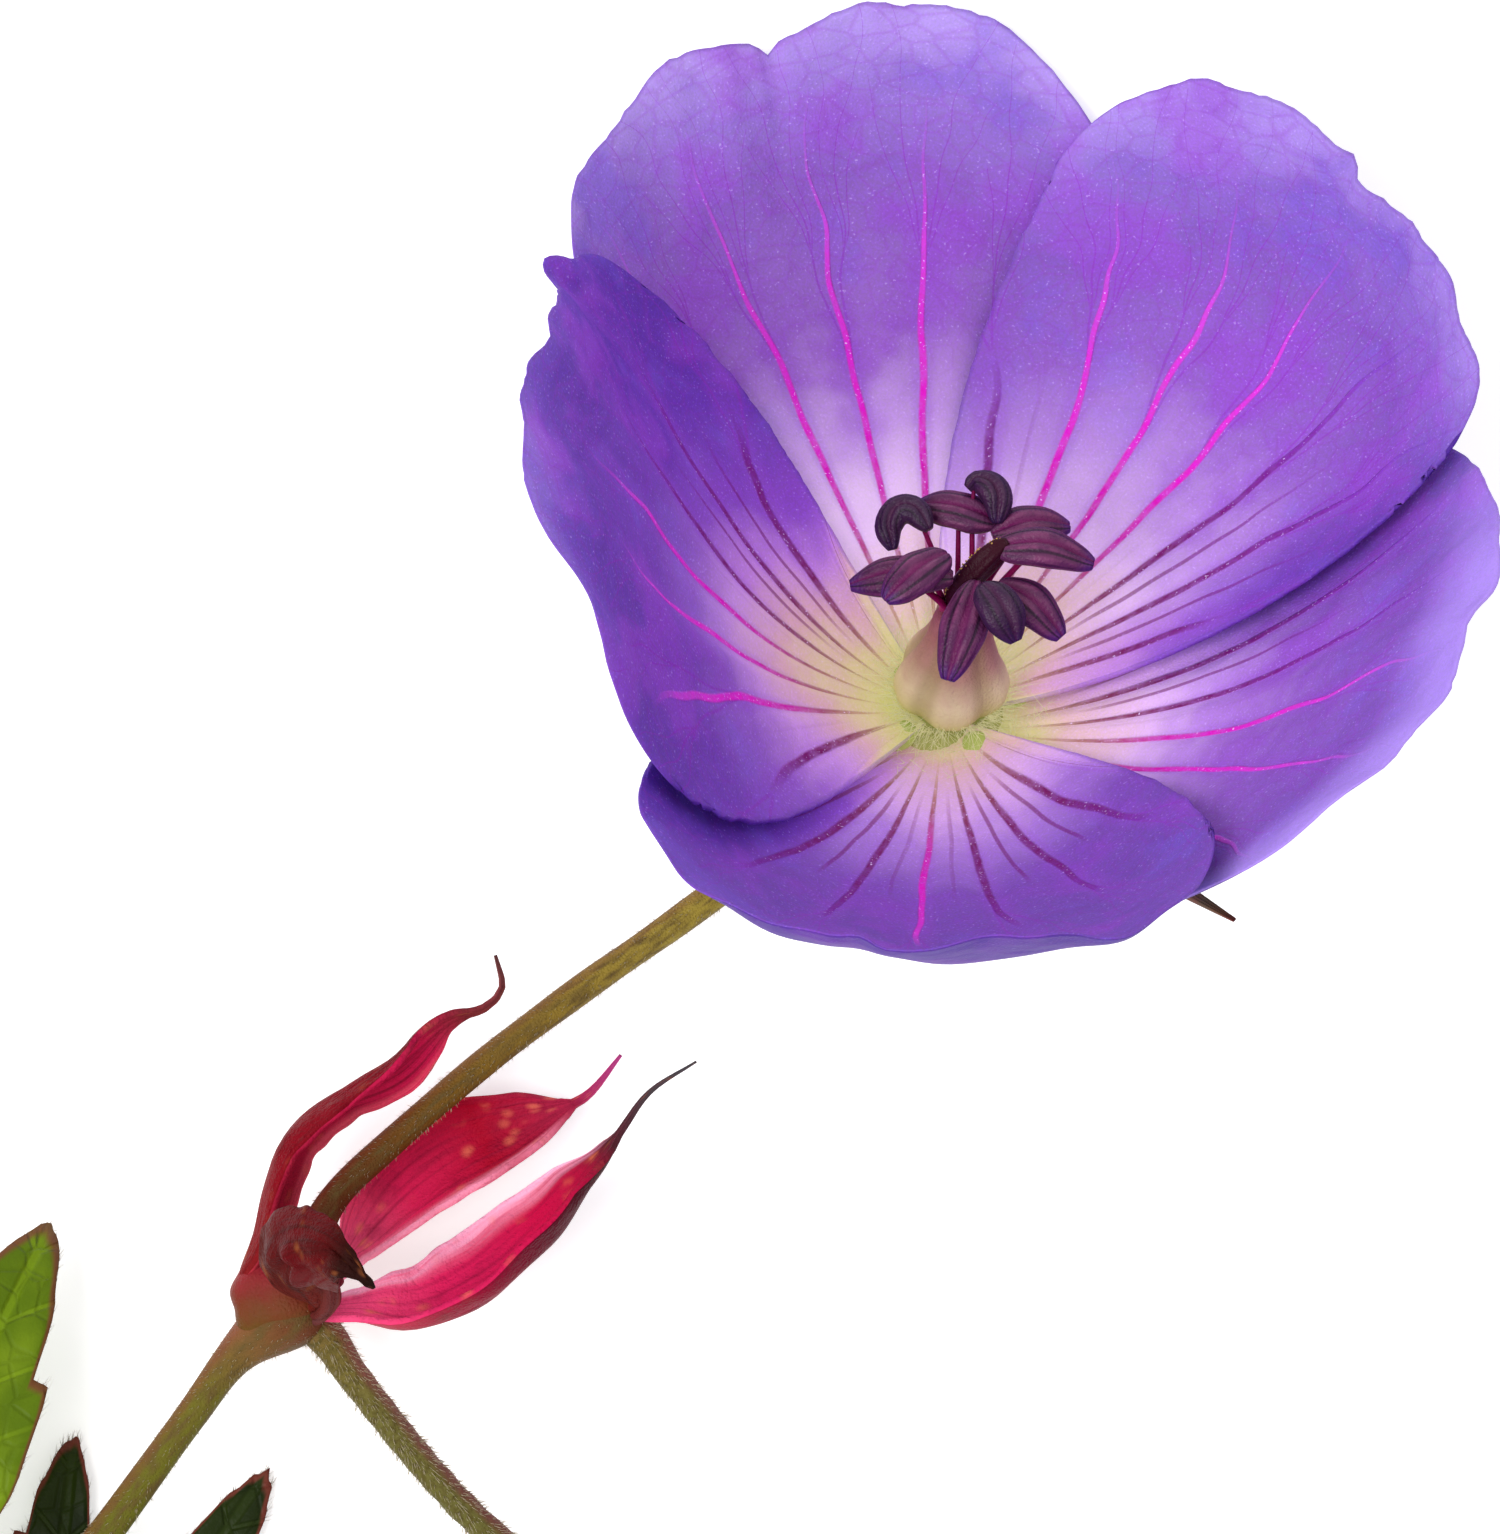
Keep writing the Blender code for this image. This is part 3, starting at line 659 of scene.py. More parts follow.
def make_fan_veins():
    """Main ribs, thinner ribs half-way between them, and fine forks."""
    group, entry, leave = new_group(
        "fan_veins",
        [("Vector", "NodeSocketVector", None), ("Half Width", "NodeSocketFloat", 0.17),
         ("Fork At", "NodeSocketFloat", 0.45), ("Seed", "NodeSocketFloat", 0.0)],
        ["Main", "Between", "Fine"])
    parts = add_node(group, "ShaderNodeSeparateXYZ", {0: entry["Vector"]}).outputs
    count, reach = parts[0], parts[1]
    shifted = add_node(group, "ShaderNodeCombineXYZ", {
        0: times(group, count, 0.7), 1: times(group, reach, 6.0),
        2: entry["Seed"]}).outputs[0]
    sway = minus(group, noise(group, shifted, 1.0, 1.0), 0.5)
    sway = times(group, sway, plus(group, reach, 0.15))
    count = plus(group, count, times(group, sway, 0.4))
    rib = maths(group, "ROUND", count)
    rib_seed = plus(group, rib, times(group, entry["Seed"], 17.3))
    lot = add_node(group, "ShaderNodeTexWhiteNoise", {"W": rib_seed},
                   noise_dimensions="1D").outputs["Value"]
    aside = beside(group, count, rib)
    spacing = times_plus(group, reach, REACH_MM * RAY_SPREAD, FAN_START_MM * RAY_SPREAD)
    start = times_plus(group, lot, 0.22, entry["Fork At"])
    open_by = maths(group, "MAXIMUM", minus(group, reach, start), 0.0)
    fork = times(group, open_by, 0.85)
    fork_aside = beside(group, aside, fork)
    late = maths(group, "MAXIMUM", minus(group, reach, 0.66), 0.0)
    second = beside(group, fork_aside, late)
    thin = fade(group, reach, 1.02, 0.35)
    swell = fade(group, reach, -0.05, 0.3)
    width = times(group, entry["Half Width"], times(group, thin, swell))
    width = plus(group, width, 0.03)
    masks = []
    between = minus(group, 0.5, aside)
    for lines, share in ((aside, 1.0), (fork_aside, 0.42), (second, 0.3), (between, 0.5)):
        away = maths(group, "DIVIDE", times(group, lines, spacing), width)
        masks.append(fade(group, away, 1.25 * share, 0.55 * share))
    forks = times(group, masks[1], fade(group, open_by, 0.0, 0.03))
    later = times(group, masks[2], fade(group, late, 0.0, 0.03))
    group.links.new(masks[0], leave["Main"])
    group.links.new(maths(group, "MAXIMUM", forks, later), leave["Fine"])
    group.links.new(times(group, masks[3], fade(group, reach, 0.12, 0.24)),
                    leave["Between"])
    return group


fan_veins = make_fan_veins()
print("group:", fan_veins.name)

# %% [markdown]
# ## The petals' shape
# The five petals lie in one bowl. Round the bowl, the steepness at the middle and at the rim
# changes smoothly from petal to petal, and each petal is a flat outline laid on it. The top
# petal lies open, the left one stands steep. The numbers are the same as in the solids, and
# the finer grid adds what the solids' few faces can't show: frilled rims, nicks, a few
# creases, shallow pleats along the veins and soft swells.

# %% The bowl and its five petals
PETALS = {
    "petal_top": dict(
        facing=-15.3, middle=65.9, rim=39.9, length=30.2, left=15.1, right=14.5,
        shoulder=0.69, skew=0.08, waves=(-0.52, -0.18, -0.23, 0.16, 0.0), inset=(-0.55, -0.55)),
    "petal_upper_right": dict(
        facing=46.5, middle=62.0, rim=-7.0, length=30.3, left=13.6, right=12.4,
        shoulder=0.81, skew=-0.08, waves=(-0.37, 0.02, -0.23, -0.10, -0.07), inset=(0.55, 0.55)),
    "petal_lower_right": dict(
        facing=114.8, middle=41.9, rim=35.1, length=27.9, left=15.5, right=13.6,
        shoulder=0.69, skew=0.08, waves=(-0.27, 0.04, -0.13, 0.23, -0.02), inset=(-0.55, -0.55)),
    "petal_bottom": dict(
        facing=186.0, middle=56.4, rim=22.3, length=30.3, left=13.5, right=13.7,
        shoulder=0.70, skew=-0.06, waves=(-0.04, 0.08, 0.10, 0.05, 0.04), inset=(0.55, -0.55)),
    "petal_left": dict(
        facing=267.3, middle=28.4, rim=39.8, length=29.1, left=12.3, right=13.1,
        shoulder=0.74, skew=-0.16, waves=(-0.21, 0.10, 0.14, 0.0, 0.06), inset=(0.55, 0.55)),
}
BOWL_LENGTH = 31.0
BOWL_STEPS = 40
BOWL_FOOT_RADIUS = 1.6
BOWL_FOOT_STEEPNESS = 69.6
FACING_REACH = 38.0
CLAW_HALF_WIDTH = 1.3
PLEAT_DEPTH = 0.14


def blend_round(key, facing):
    """Mix a number of the five petals by how near each petal's facing is."""
    mix, total = 0.0, 0.0
    for petal in PETALS.values():
        away = (facing - petal["facing"] + 180.0) % 360.0 - 180.0
        weight = np.exp(-(away / FACING_REACH) ** 2)
        mix, total = mix + weight * petal[key], total + weight
    return mix / total


def bowl(facing, along):
    """Radius, height and steepness of the bowl for rows of facings and distances."""
    middle = blend_round("middle", facing)[:, None]
    rim = blend_round("rim", facing)[:, None]
    share = along[:, None] / BOWL_LENGTH * np.linspace(0.0, 1.0, BOWL_STEPS)
    angle = np.radians(BOWL_FOOT_STEEPNESS * (1 - share) * (1 - 2 * share)
                       + middle * 4 * share * (1 - share) + rim * share * (2 * share - 1))
    step = along / (BOWL_STEPS - 1)
    out, rise = np.sin(angle), np.cos(angle)
    radius = BOWL_FOOT_RADIUS + step * (out.sum(axis=1) - (out[:, 0] + out[:, -1]) / 2)
    height = step * (rise.sum(axis=1) - (rise[:, 0] + rise[:, -1]) / 2)
    return radius, height, angle[:, -1]


top_petal = PETALS["petal_top"]
rim_radius, rim_height = bowl(np.array([top_petal["facing"]]), np.array([top_petal["length"]]))[:2]
print("top petal's rim: radius", rim_radius.round(1), "height", rim_height.round(1))

# %% [markdown]
# The nicks and creases were read off the photograph petal by petal: the top petal has one
# nick with a crease below it, the upper right one a small fold in its rim, and the left one
# a pinched corner that points outwards.

# %% Rim nicks, corners and creases
# Each nick: place across from -1 to 1, width, depth (negative for a corner that stands out)
NICKS = {
    "petal_top": ((-0.06, 0.022, 0.55), (0.36, 0.05, 0.15)),
    "petal_upper_right": ((-0.07, 0.03, 0.35), (0.06, 0.03, 0.3), (0.37, 0.03, 0.3)),
    "petal_lower_right": ((0.1, 0.03, 0.15),),
    "petal_bottom": ((0.16, 0.035, -0.35), (0.1, 0.03, 0.2)),
    "petal_left": ((0.74, 0.05, -0.9), (0.6, 0.04, 0.35)),
}
# Each crease: place across, slant, width, depth inwards, share of the length where it starts
CREASES = {
    "petal_top": ((-0.06, 0.0, 0.02, -0.5, 0.82), (-0.2, 0.05, 0.06, 0.3, 0.6)),
    "petal_upper_right": ((-0.1, 0.1, 0.035, -0.6, 0.86), (0.06, 0.1, 0.03, -0.45, 0.9),
                          (0.37, 0.0, 0.03, -0.4, 0.9)),
    "petal_lower_right": ((-0.2, 0.1, 0.08, -0.3, 0.6),),
    "petal_bottom": ((0.17, 0.0, 0.06, 0.35, 0.8),),
    "petal_left": ((0.7, 0.0, 0.06, -0.7, 0.8), (0.25, 0.2, 0.1, 0.3, 0.7)),
}


def petal_outline(name, u, v):
    """Across and along distances on the flat petal, with its frilled rim."""
    petal = PETALS[name]
    seed = list(PETALS).index(name) * 10
    side = np.where(u < 0, petal["left"], petal["right"])
    half = CLAW_HALF_WIDTH + (side - CLAW_HALF_WIDTH) * np.sin(np.pi / 2 * v ** 0.95)
    half = half + (0.05 * waves(v, seed, 6, 50.0) + 0.03 * waves(v, seed + 1, 6, 150.0)) * v
    wave = sum(size * np.cos(2 * np.pi * u * (k // 2 + 1) - (k % 2) * np.pi / 2)
               for k, size in enumerate(petal["waves"]))
    shoulder = petal["shoulder"]
    top = petal["length"] * (shoulder + (1 - shoulder) * (1 - u * u) ** 0.45)
    top = top * (1 + petal["skew"] * u * (1 - u * u)) + wave * (1 - u ** 4)
    frill = 0.1 * waves(u, seed + 2, 7, 22.0) + 0.045 * waves(u, seed + 3, 7, 80.0)
    for place, width, depth in NICKS[name]:
        frill = frill - depth * np.exp(-((u - place) / width) ** 2)
    return u * half, v * top + frill * v ** 9


print("nicks:", sum(len(nicks) for nicks in NICKS.values()))

# %% [markdown]
# The ribs of a petal start a little below its claw and curve gently outwards. The fan map
# keeps, for each point, the number of the rib that it lies on and how far out it is. The
# same map presses shallow pleats into the blade, so that veins and pleats lie together.

# %% The fan map
def fan_of(across, along):
    """Rib number and reach share of points on the flat petal.

    The ribs curve outwards a little, so a few rounds of guessing find each point's reach.
    """
    reach = np.hypot(across, along + FAN_START_MM) - FAN_START_MM
    for _ in range(12):
        spread = np.maximum(reach + FAN_START_MM, 0.2) * (0.75 + reach / 120)
        sine = np.clip(across / spread, -0.98, 0.98)
        reach = (along + FAN_START_MM) / np.sqrt(1 - sine ** 2) - FAN_START_MM
        reach = np.clip(reach, -0.5, 36.0)
    return np.arcsin(sine) / RAY_SPREAD, reach / REACH_MM


rib_numbers, reaches = fan_of(np.array([0.0, 5.0]), np.array([20.0, 20.0]))
print("ribs", rib_numbers.round(2), "reaches", reaches.round(2))

# %% [markdown]
# A petal doesn't lie on the bowl itself but a little inside or outside it, which lets the
# petals lap over one another. The pleats, swells and creases are added to that distance.

# %% Pleats and blade
def petal_inset(name, u, v, rib, reach):
    """How far each point lies inside the bowl: its lap, pleats, swells and creases."""
    left, right = PETALS[name]["inset"]
    seed = list(PETALS).index(name) * 10 + 5
    inset = left + (right - left) * (u + 1) / 2
    calm = 1 - np.abs(u) ** 3
    pleats = np.cos(2 * np.pi * rib) * np.sin(np.pi * np.clip(reach * 1.3, 0, 1))
    inset = inset - PLEAT_DEPTH * pleats * calm
    swell = waves(u * 4 + v * 2, seed, 5, 1.6) * waves(v * 5 - u, seed + 1, 5, 1.5)
    inset = inset + 0.3 * swell * v * calm + 0.16 * waves(u * 5, seed + 2, 5, 3.0) * v ** 6
    for place, slant, width, depth, start in CREASES[name]:
        way = np.clip((v - start) / (1 - start), 0, 1)
        inset = inset + depth * np.exp(-((u - place + slant * (1 - v)) / width) ** 2) * way
    return inset


def petal_blade(name):
    """The middle sheet of one petal with its two maps: the fan and the rim."""
    petal = PETALS[name]
    bm, across_share, v = sheet(112, 96)
    u = np.sin(np.pi / 2 * (2 * across_share - 1))
    across, along = petal_outline(name, u, v)
    rib, reach = fan_of(across, along)
    radius = bowl(np.full_like(u, petal["facing"]), along)[0]
    facing = petal["facing"] + np.degrees(across / np.maximum(radius, 1.0))
    radius, height, angle = bowl(facing, along)
    inset = petal_inset(name, u, v, rib, reach)
    radius = radius - inset * np.cos(angle)
    height = height + inset * np.sin(angle)
    turn = np.radians(facing)
    move(bm, in_flower(radius * np.sin(turn), radius * np.cos(turn), height))
    write_map(bm, "fan", rib, reach)
    write_map(bm, "rim", (u + 1) / 2, v)
    thin_out(bm, 0.35 + 0.65 * np.minimum(1.0, (1 - v) / 0.04))
    return bm


middle_rib, half_way = np.zeros(1), np.full(1, 0.5)
middle_inset = petal_inset("petal_top", middle_rib, half_way, middle_rib, half_way)
print("inset in the middle of the top petal:", middle_inset.round(2))

# %% [markdown]
# ## The petals' finish
# A petal is coloured in zones by its reach: cream at the claw, a pale lilac heart, then
# violet that turns bluer towards the rim. Each petal mixes a lit and a shaded set of zones,
# because some stand in the light and others in the shade, so light and shade are painted into
# its colour. Clouds of magenta pigment drift over it and painted glints make the skin glitter.
# The ribs start brown and turn maroon. Where the light comes through them they are painted
# glowing magenta and elsewhere in darker shade colours, so each petal says which of its ribs
# are lit.

# %% Petal colours
# Per petal: the span of its lit ribs, how much of the shaded zones' painted shade it has, and
# the ribs between which its painted shaded side starts. Some also say where the ribs end, how
# early the zones come, the zone past which it turns no paler, and how strong the painted light
# on its outer rim is.
PETAL_LOOKS = {
    "petal_top": dict(lit=(-2.6, 2.6), deep=0.1, shade=(1.2, 3.4)),
    "petal_upper_right": dict(lit=(-2.5, 0.6), deep=0.28, shade=(1.4, 3.0)),
    "petal_lower_right": dict(lit=(-0.6, 2.6), deep=0.42, shade=(-1.4, -3.2), rim_light=0.8),
    "petal_bottom": dict(lit=(-0.4, 0.4), deep=0.62, shade=(1.6, 2.8), until=0.7, early=0.09,
                         paler_at=0.8),
    "petal_left": dict(lit=(-2.6, 0.6), deep=0.84, shade=(0.6, 2.2), until=0.82, early=-0.06),
}
# Zone colours for a petal in the light, then the same zones with painted shade for a petal in the
# shade
LIT_ZONES = (
    (0.0, (206, 206, 130)), (0.07, (212, 202, 146)), (0.15, (214, 184, 174)),
    (0.27, (220, 192, 224)), (0.42, (188, 150, 210)), (0.58, (148, 102, 184)),
    (0.78, (132, 92, 174)), (0.9, (142, 112, 188)), (1.0, (168, 144, 212)))
SHADED_ZONES = (
    (0.0, (200, 196, 124)), (0.07, (206, 188, 140)), (0.15, (202, 158, 166)),
    (0.27, (182, 126, 202)), (0.4, (132, 76, 182)), (0.55, (104, 54, 164)),
    (0.78, (88, 48, 150)), (0.9, (100, 64, 168)), (1.0, (150, 118, 208)))
# Rib colours where the light comes through, then painted shade colours for ribs in the shade
LIT_RIB = (
    (0.0, (206, 186, 132)), (0.1, (180, 140, 104)), (0.2, (150, 84, 100)),
    (0.29, (186, 26, 146)), (0.45, (220, 18, 186)), (0.7, (210, 60, 206)),
    (0.9, (160, 84, 208)))
SHADED_RIB = (
    (0.0, (190, 172, 128)), (0.1, (164, 124, 96)), (0.2, (126, 58, 84)),
    (0.3, (108, 24, 84)), (0.5, (112, 26, 116)), (0.7, (120, 44, 160)),
    (0.9, (112, 62, 190)))
MAGENTA_CLOUD, BLUE_CLOUD = (140, 66, 186), (112, 88, 196)
NET_INK, FORK_INK, HAZE_AND_PLEAT_SHADE_INK = (134, 44, 170), (130, 40, 166), (140, 70, 188)
# The dark line at the rim, and the colour of the painted light on the outer rim
RIM_INK, RIM_LIGHT_INK = (98, 62, 150), (166, 138, 224)
# Painted glints, the light colour of the fine grain, and the painted shade over the petals' backs
PAINTED_GLINT, GRAIN_LIGHT, BACK_SHADE = (240, 226, 250), (206, 190, 250), (56, 24, 120)


def petal_ground(tree, rib, reach, clouds, deep, shade, early, paler_at):
    """The zones of colour with their painted light and shade, and clouds of magenta and blue
    drifting over them.
    """
    drift = times_plus(tree, clouds, 0.3, plus(tree, reach, early - 0.15))
    drift = maths(tree, "MINIMUM", drift, paler_at)
    # Painted shade: how much of the shaded zones a petal takes, more on its shaded side
    shaded = times_plus(tree, fade(tree, rib, *shade), 0.65, deep)
    base = blend(tree, shaded, colour_row(tree, drift, LIT_ZONES),
                 colour_row(tree, drift, SHADED_ZONES))
    pigment = times(tree, fade(tree, clouds, 0.5, 0.64), fade(tree, reach, 0.25, 0.6))
    base = tint(tree, base, pigment, 0.55, MAGENTA_CLOUD)
    cool = times(tree, fade(tree, clouds, 0.46, 0.34), fade(tree, reach, 0.3, 0.6))
    return tint(tree, base, cool, 0.32, BLUE_CLOUD)


print("petal looks:", list(PETAL_LOOKS))

# %% [markdown]
# The fine structure comes in layers, from the faintest to the strongest: a net of tiny
# veins, the forks, a soft purple haze along each rib that is also painted shade for the sunken
# pleats there, the thin ribs half-way between, and at last the main ribs. Masks along the
# reach let each layer start and end where the real one does.

# %% Petal netting and ribs
def petal_netting(tree, base, fan, rib, reach, forks):
    """The net of tiny veins, the forks, and a haze along each rib with painted pleat shade."""
    net = add_node(tree, "ShaderNodeTexVoronoi", {
        "Vector": stretched(tree, fan, 1.0, 8.0), "Scale": 3.4}, feature="DISTANCE_TO_EDGE")
    net_mask = times(tree, fade(tree, net.outputs[0], 0.09, 0.0), fade(tree, reach, 0.35, 0.7))
    base = tint(tree, base, net_mask, 0.2, NET_INK)
    base = tint(tree, base, forks, 0.5, FORK_INK)
    # Purple haze along each rib, also painted shade for the sunken pleats there
    haze_and_shade = fade(tree, maths(tree, "COSINE", times(tree, rib, 2 * math.pi)), 0.0, 1.0)
    haze_and_shade_span = times(tree, fade(tree, reach, 0.12, 0.35), fade(tree, reach, 0.95, 0.6))
    return tint(tree, base, times(tree, haze_and_shade, haze_and_shade_span), 0.3, HAZE_AND_PLEAT_SHADE_INK)


def rib_freshness(tree, fan, reach, from_middle, until):
    """How strong a rib is along its way: none at the claw, the sides and past its end."""
    fresh = times(tree, fade(tree, reach, until, 0.6), fade(tree, reach, 0.02, 0.16))
    fresh = times(tree, fresh, fade(tree, from_middle, 0.49, 0.44))
    flicker = noise(tree, stretched(tree, fan, 6.0, 40.0), 1.0, 2.0)
    return times(tree, fresh, times_plus(tree, flicker, 0.9, 0.42))


print("finishes before the petals:", len(bpy.data.materials))

# %% [markdown]
# The finish lays these layers over the ground and ends with painted glints, a dark line at the
# rim and the fine grain. One more material serves the backs of all five petals. It is the
# same recipe with more of the shaded zones, weaker ribs and a painted dark shade over them.

# %% Petal finish
def petal_finish(name, seed, lit, deep, shade, strength=1.0, until=0.98, early=0.0,
                 paler_at=1.0, rim_light=0.0, dim=0.0):
    """The violet blade with its ribs; strength is for the ribs, dim for the back's shade."""
    material, tree, where = new_finish(name + "_violet", 0.55)
    fan, rib, reach = two_numbers(tree, "fan")
    _, rim_across, rim_along = two_numbers(tree, "rim")
    from_middle = beside(tree, rim_across, 0.5)
    skin = use_group(tree, living_skin, {"Vector": where, "Cell Size": 0.12, "Cloud Size": 6.5})
    veins = use_group(tree, fan_veins, {
        "Vector": fan, "Half Width": 0.19, "Fork At": 0.42, "Seed": seed})
    base = petal_ground(tree, rib, reach, skin["Clouds"], deep, shade, early, paler_at)
    base = petal_netting(tree, base, fan, rib, reach, veins["Fine"])

    # Painted light and shade on the ribs: lit ribs glow magenta, the others and the thin ribs
    # between take the shade colours
    window = times(tree, fade(tree, rib, lit[0] - 0.4, lit[0] + 0.2),
                   fade(tree, rib, lit[1] + 0.4, lit[1] - 0.2))
    unlit = times(tree, minus(tree, 1.0, window), 0.7 * strength)
    shaded_rib_ink = colour_row(tree, reach, SHADED_RIB)
    thin_ribs = times(tree, times(tree, veins["Between"], unlit),
                      fade(tree, reach, 0.75 * until, 0.45))
    base = blend(tree, thin_ribs, base, shaded_rib_ink)
    fresh = rib_freshness(tree, fan, reach, from_middle, until)
    ribs = times(tree, times(tree, veins["Main"], fresh), strength)
    base = blend(tree, ribs, base, blend(tree, window, shaded_rib_ink, colour_row(tree, reach, LIT_RIB)))

    # Painted glints: a few bright cells, more of them on the ribs
    glint_strength = times_plus(tree, ribs, 0.5, 0.2)
    base = blend(tree, times(tree, skin["Glints"], glint_strength), base, ink(*PAINTED_GLINT))
    rim = maths(tree, "MAXIMUM", fade(tree, rim_along, 0.991, 1.0),
                fade(tree, from_middle, 0.4985, 0.5))
    base = tint(tree, base, rim, 0.4, RIM_INK)
    # Painted light on the outer rim, on the petal's lit side only
    rim_light_mask = times(tree, fade(tree, rim_along, 0.8, 0.98), fade(tree, rib, -2.6, -0.4))
    base = tint(tree, base, rim_light_mask, rim_light, RIM_LIGHT_INK)
    base = tint(tree, base, fade(tree, skin["Cells"], 0.35, 0.65), 0.45, GRAIN_LIGHT, "SOFT_LIGHT")
    base = blend(tree, dim, base, ink(*BACK_SHADE))
    glow = times_plus(tree, fade(tree, reach, 0.6, 0.14), 0.8 * strength, 0.2)
    shine_through(material, blend(tree, glow, ink(0, 0, 0), base), 0.4)
    height = times_plus(tree, skin["Cells"], 0.45, times(tree, ribs, 0.8))
    height = times_plus(tree, skin["Clouds"], 12.0, height)
    return dress(material, base, height, 0.07)


NO_RIB = (9.0, 9.5)
petal_back = petal_finish("petal_back", 9.0, NO_RIB, 0.95, NO_RIB, 0.35, paler_at=0.8, dim=0.6)
for petal_name in PETALS:
    seed = 1.0 + list(PETALS).index(petal_name)
    petal_front = petal_finish(petal_name, seed, **PETAL_LOOKS[petal_name])
    blade = piece(petal_name + "_blade", petal_blade(petal_name), petal_name,
                  [petal_front, petal_back], thickness=0.24, floor=TABLE_GAP)
    print(blade.name, len(blade.data.vertices), "vertices")

# %% [markdown]
# ## The column in the middle
# The ten filaments are swollen at the foot and stand close together as one pale cone. It is a
# rolled grid whose radius follows a measured profile, with ten shallow ridges, one for each
# filament, and five soft swells. The finish goes from the green-yellow foot over cream to a
# pink flush on the shoulders, and a painted shade of darker olive green lies in the hollows
# between the swells.

# %% Column
# Height over the flower's foot, and radius
COLUMN_PROFILE = (
    (0.65, 1.3), (1.15, 1.75), (1.5, 2.1), (1.95, 2.34), (2.6, 2.42), (3.4, 2.2), (4.4, 1.75),
    (5.6, 1.4), (7.0, 1.22), (7.25, 0.9))
COLUMN_LEAN = 0.05
COLUMN_TOP = 7.0
SWELLS = 5


def column_body():
    """The cone of filament bases, ridged and swollen."""
    bm, turn, along = sheet(100, 48)
    profile = smooth_line(COLUMN_PROFILE, 0.15)
    shares = np.linspace(0.0, 1.0, len(profile))
    height, radius = look_up(along, shares, profile).T
    angle = 2 * np.pi * turn
    ridge = np.abs(np.cos(SWELLS * angle + 0.25 * np.sin(2 * angle)))
    swell = np.cos(SWELLS * angle + 0.5 * np.pi)
    radius = radius * (0.95 + 0.05 * ridge ** 0.7 + 0.07 * swell)
    move(bm, in_flower(radius * np.cos(angle) + COLUMN_LEAN * height, radius * np.sin(angle),
                       height))
    write_map(bm, "skin", turn, along)
    close_tube(bm)
    return bm


def column_finish():
    """Cream with a green foot, a pink flush and painted shade in the hollows."""
    material, tree, where = new_finish("column_cream", 0.5)
    _, turn, along = two_numbers(tree, "skin")
    skin = use_group(tree, living_skin, {"Vector": where, "Cell Size": 0.14, "Cloud Size": 1.6})
    base = colour_row(tree, along, (
        (0.0, (170, 186, 92)), (0.22, (226, 226, 152)), (0.4, (230, 220, 162)),
        (0.58, (186, 152, 120)), (0.8, (168, 116, 102)), (1.0, (140, 66, 88))))
    hollow = maths(tree, "SINE", times(tree, turn, 2 * SWELLS * math.pi))
    flush = times(tree, fade(tree, skin["Clouds"], 0.42, 0.62),
                  fade(tree, along, 0.25, 0.5))
    base = tint(tree, base, flush, 0.2, (206, 148, 138))
    # Painted shade: a darker olive green laid into the hollows between the swells
    base = tint(tree, base, fade(tree, hollow, -0.2, 1.0), 0.45, (156, 144, 84))
    return dress(material, base, skin["Cells"], 0.05)


column = piece("stamen_column", column_body(), "stamens", [column_finish()])

# %% [markdown]
# ## Anthers
# Each anther is a bag of two lobes side by side. Seen from above it has a deep groove in the
# middle, tinged magenta, and a dark slit along each lobe where it will open. A tube with a
# two-lobed cross-section gives that form. Eight anthers lie flat; two have curled into
# hooks, and those two and one more are nearly black. Their lines are measured in the
# flower's own directions.

# %% Anther lines and bodies
ANTHERS = {
    "anther_a": ((-0.3, -0.5, 10.0), (-2.4, -0.45, 10.0), (-4.6, -0.7, 9.5)),
    "anther_b": ((-0.6, -0.1, 11.0), (-1.8, -1.1, 11.1), (-3.2, -2.3, 10.6)),
    "anther_c": ((-1.3, 1.7, 10.4), (-1.9, 2.5, 10.6), (-2.6, 2.6, 10.5), (-3.0, 2.0, 10.1),
                 (-2.8, 1.2, 9.6)),
    "anther_d": ((1.6, 2.6, 9.8), (0.0, 3.1, 10.0), (-1.7, 3.5, 9.8)),
    "anther_e": ((0.35, 3.9, 10.5), (0.7, 4.1, 10.7), (1.25, 3.8, 10.85), (1.6, 3.2, 10.7),
                 (1.6, 2.3, 10.2)),
    "anther_f": ((1.4, 2.0, 9.8), (3.1, 2.5, 9.9), (4.7, 2.7, 9.6)),
    "anther_g": ((1.4, 0.6, 10.6), (3.5, 0.6, 10.8), (5.6, 0.25, 10.2)),
    "anther_h": ((0.7, -0.7, 10.0), (0.15, -2.8, 9.6), (-0.5, -4.8, 8.5)),
    "anther_i": ((0.85, -1.4, 10.7), (1.6, -2.5, 10.6), (2.3, -3.6, 9.7)),
    "anther_j": ((1.6, -0.6, 9.8), (3.0, -1.5, 9.6), (4.3, -2.6, 8.8)),
}
CURLED = ("anther_c", "anther_e")
DARK = CURLED + ("anther_i",)
ANTHER_SEED = 105
SLIT_PLACE = 0.6


def anther_body(name):
    """A two-lobed bag along its line."""
    line = smooth_line([in_flower(*point) for point in ANTHERS[name]], 0.2)
    share = shares_along(line)
    size = 0.1 + 0.9 * np.sin(np.pi * (0.02 + 0.95 * share) ** 0.9) ** 0.62
    slim = 0.7 if name in CURLED else 1.0
    wave = waves(share * 5, ANTHER_SEED + list(ANTHERS).index(name), 4, 2.0)

    def section(angle, along, radius):
        aside = np.abs(np.cos(angle))
        groove = 1 - 0.42 * np.exp(-(aside / 0.17) ** 2)
        slit = 1 - 0.13 * np.exp(-((aside - SLIT_PLACE) / 0.07) ** 2)
        waist = 1 - 0.05 * np.exp(-((aside - SLIT_PLACE) / 0.1) ** 2)
        return radius * slim * waist, radius * 0.58 * groove * slit

    rows = np.column_stack([line, size * (1 + 0.04 * wave)])
    return tube(rows, 44, 30, section, up=tuple(AXIS))


print("curled anthers:", CURLED)

# %% [markdown]
# An anther's skin is a waxy purple-brown, streaked lengthwise and bluer at the tip. The map
# says how far round the tube a point is, and that places the groove and the slits.

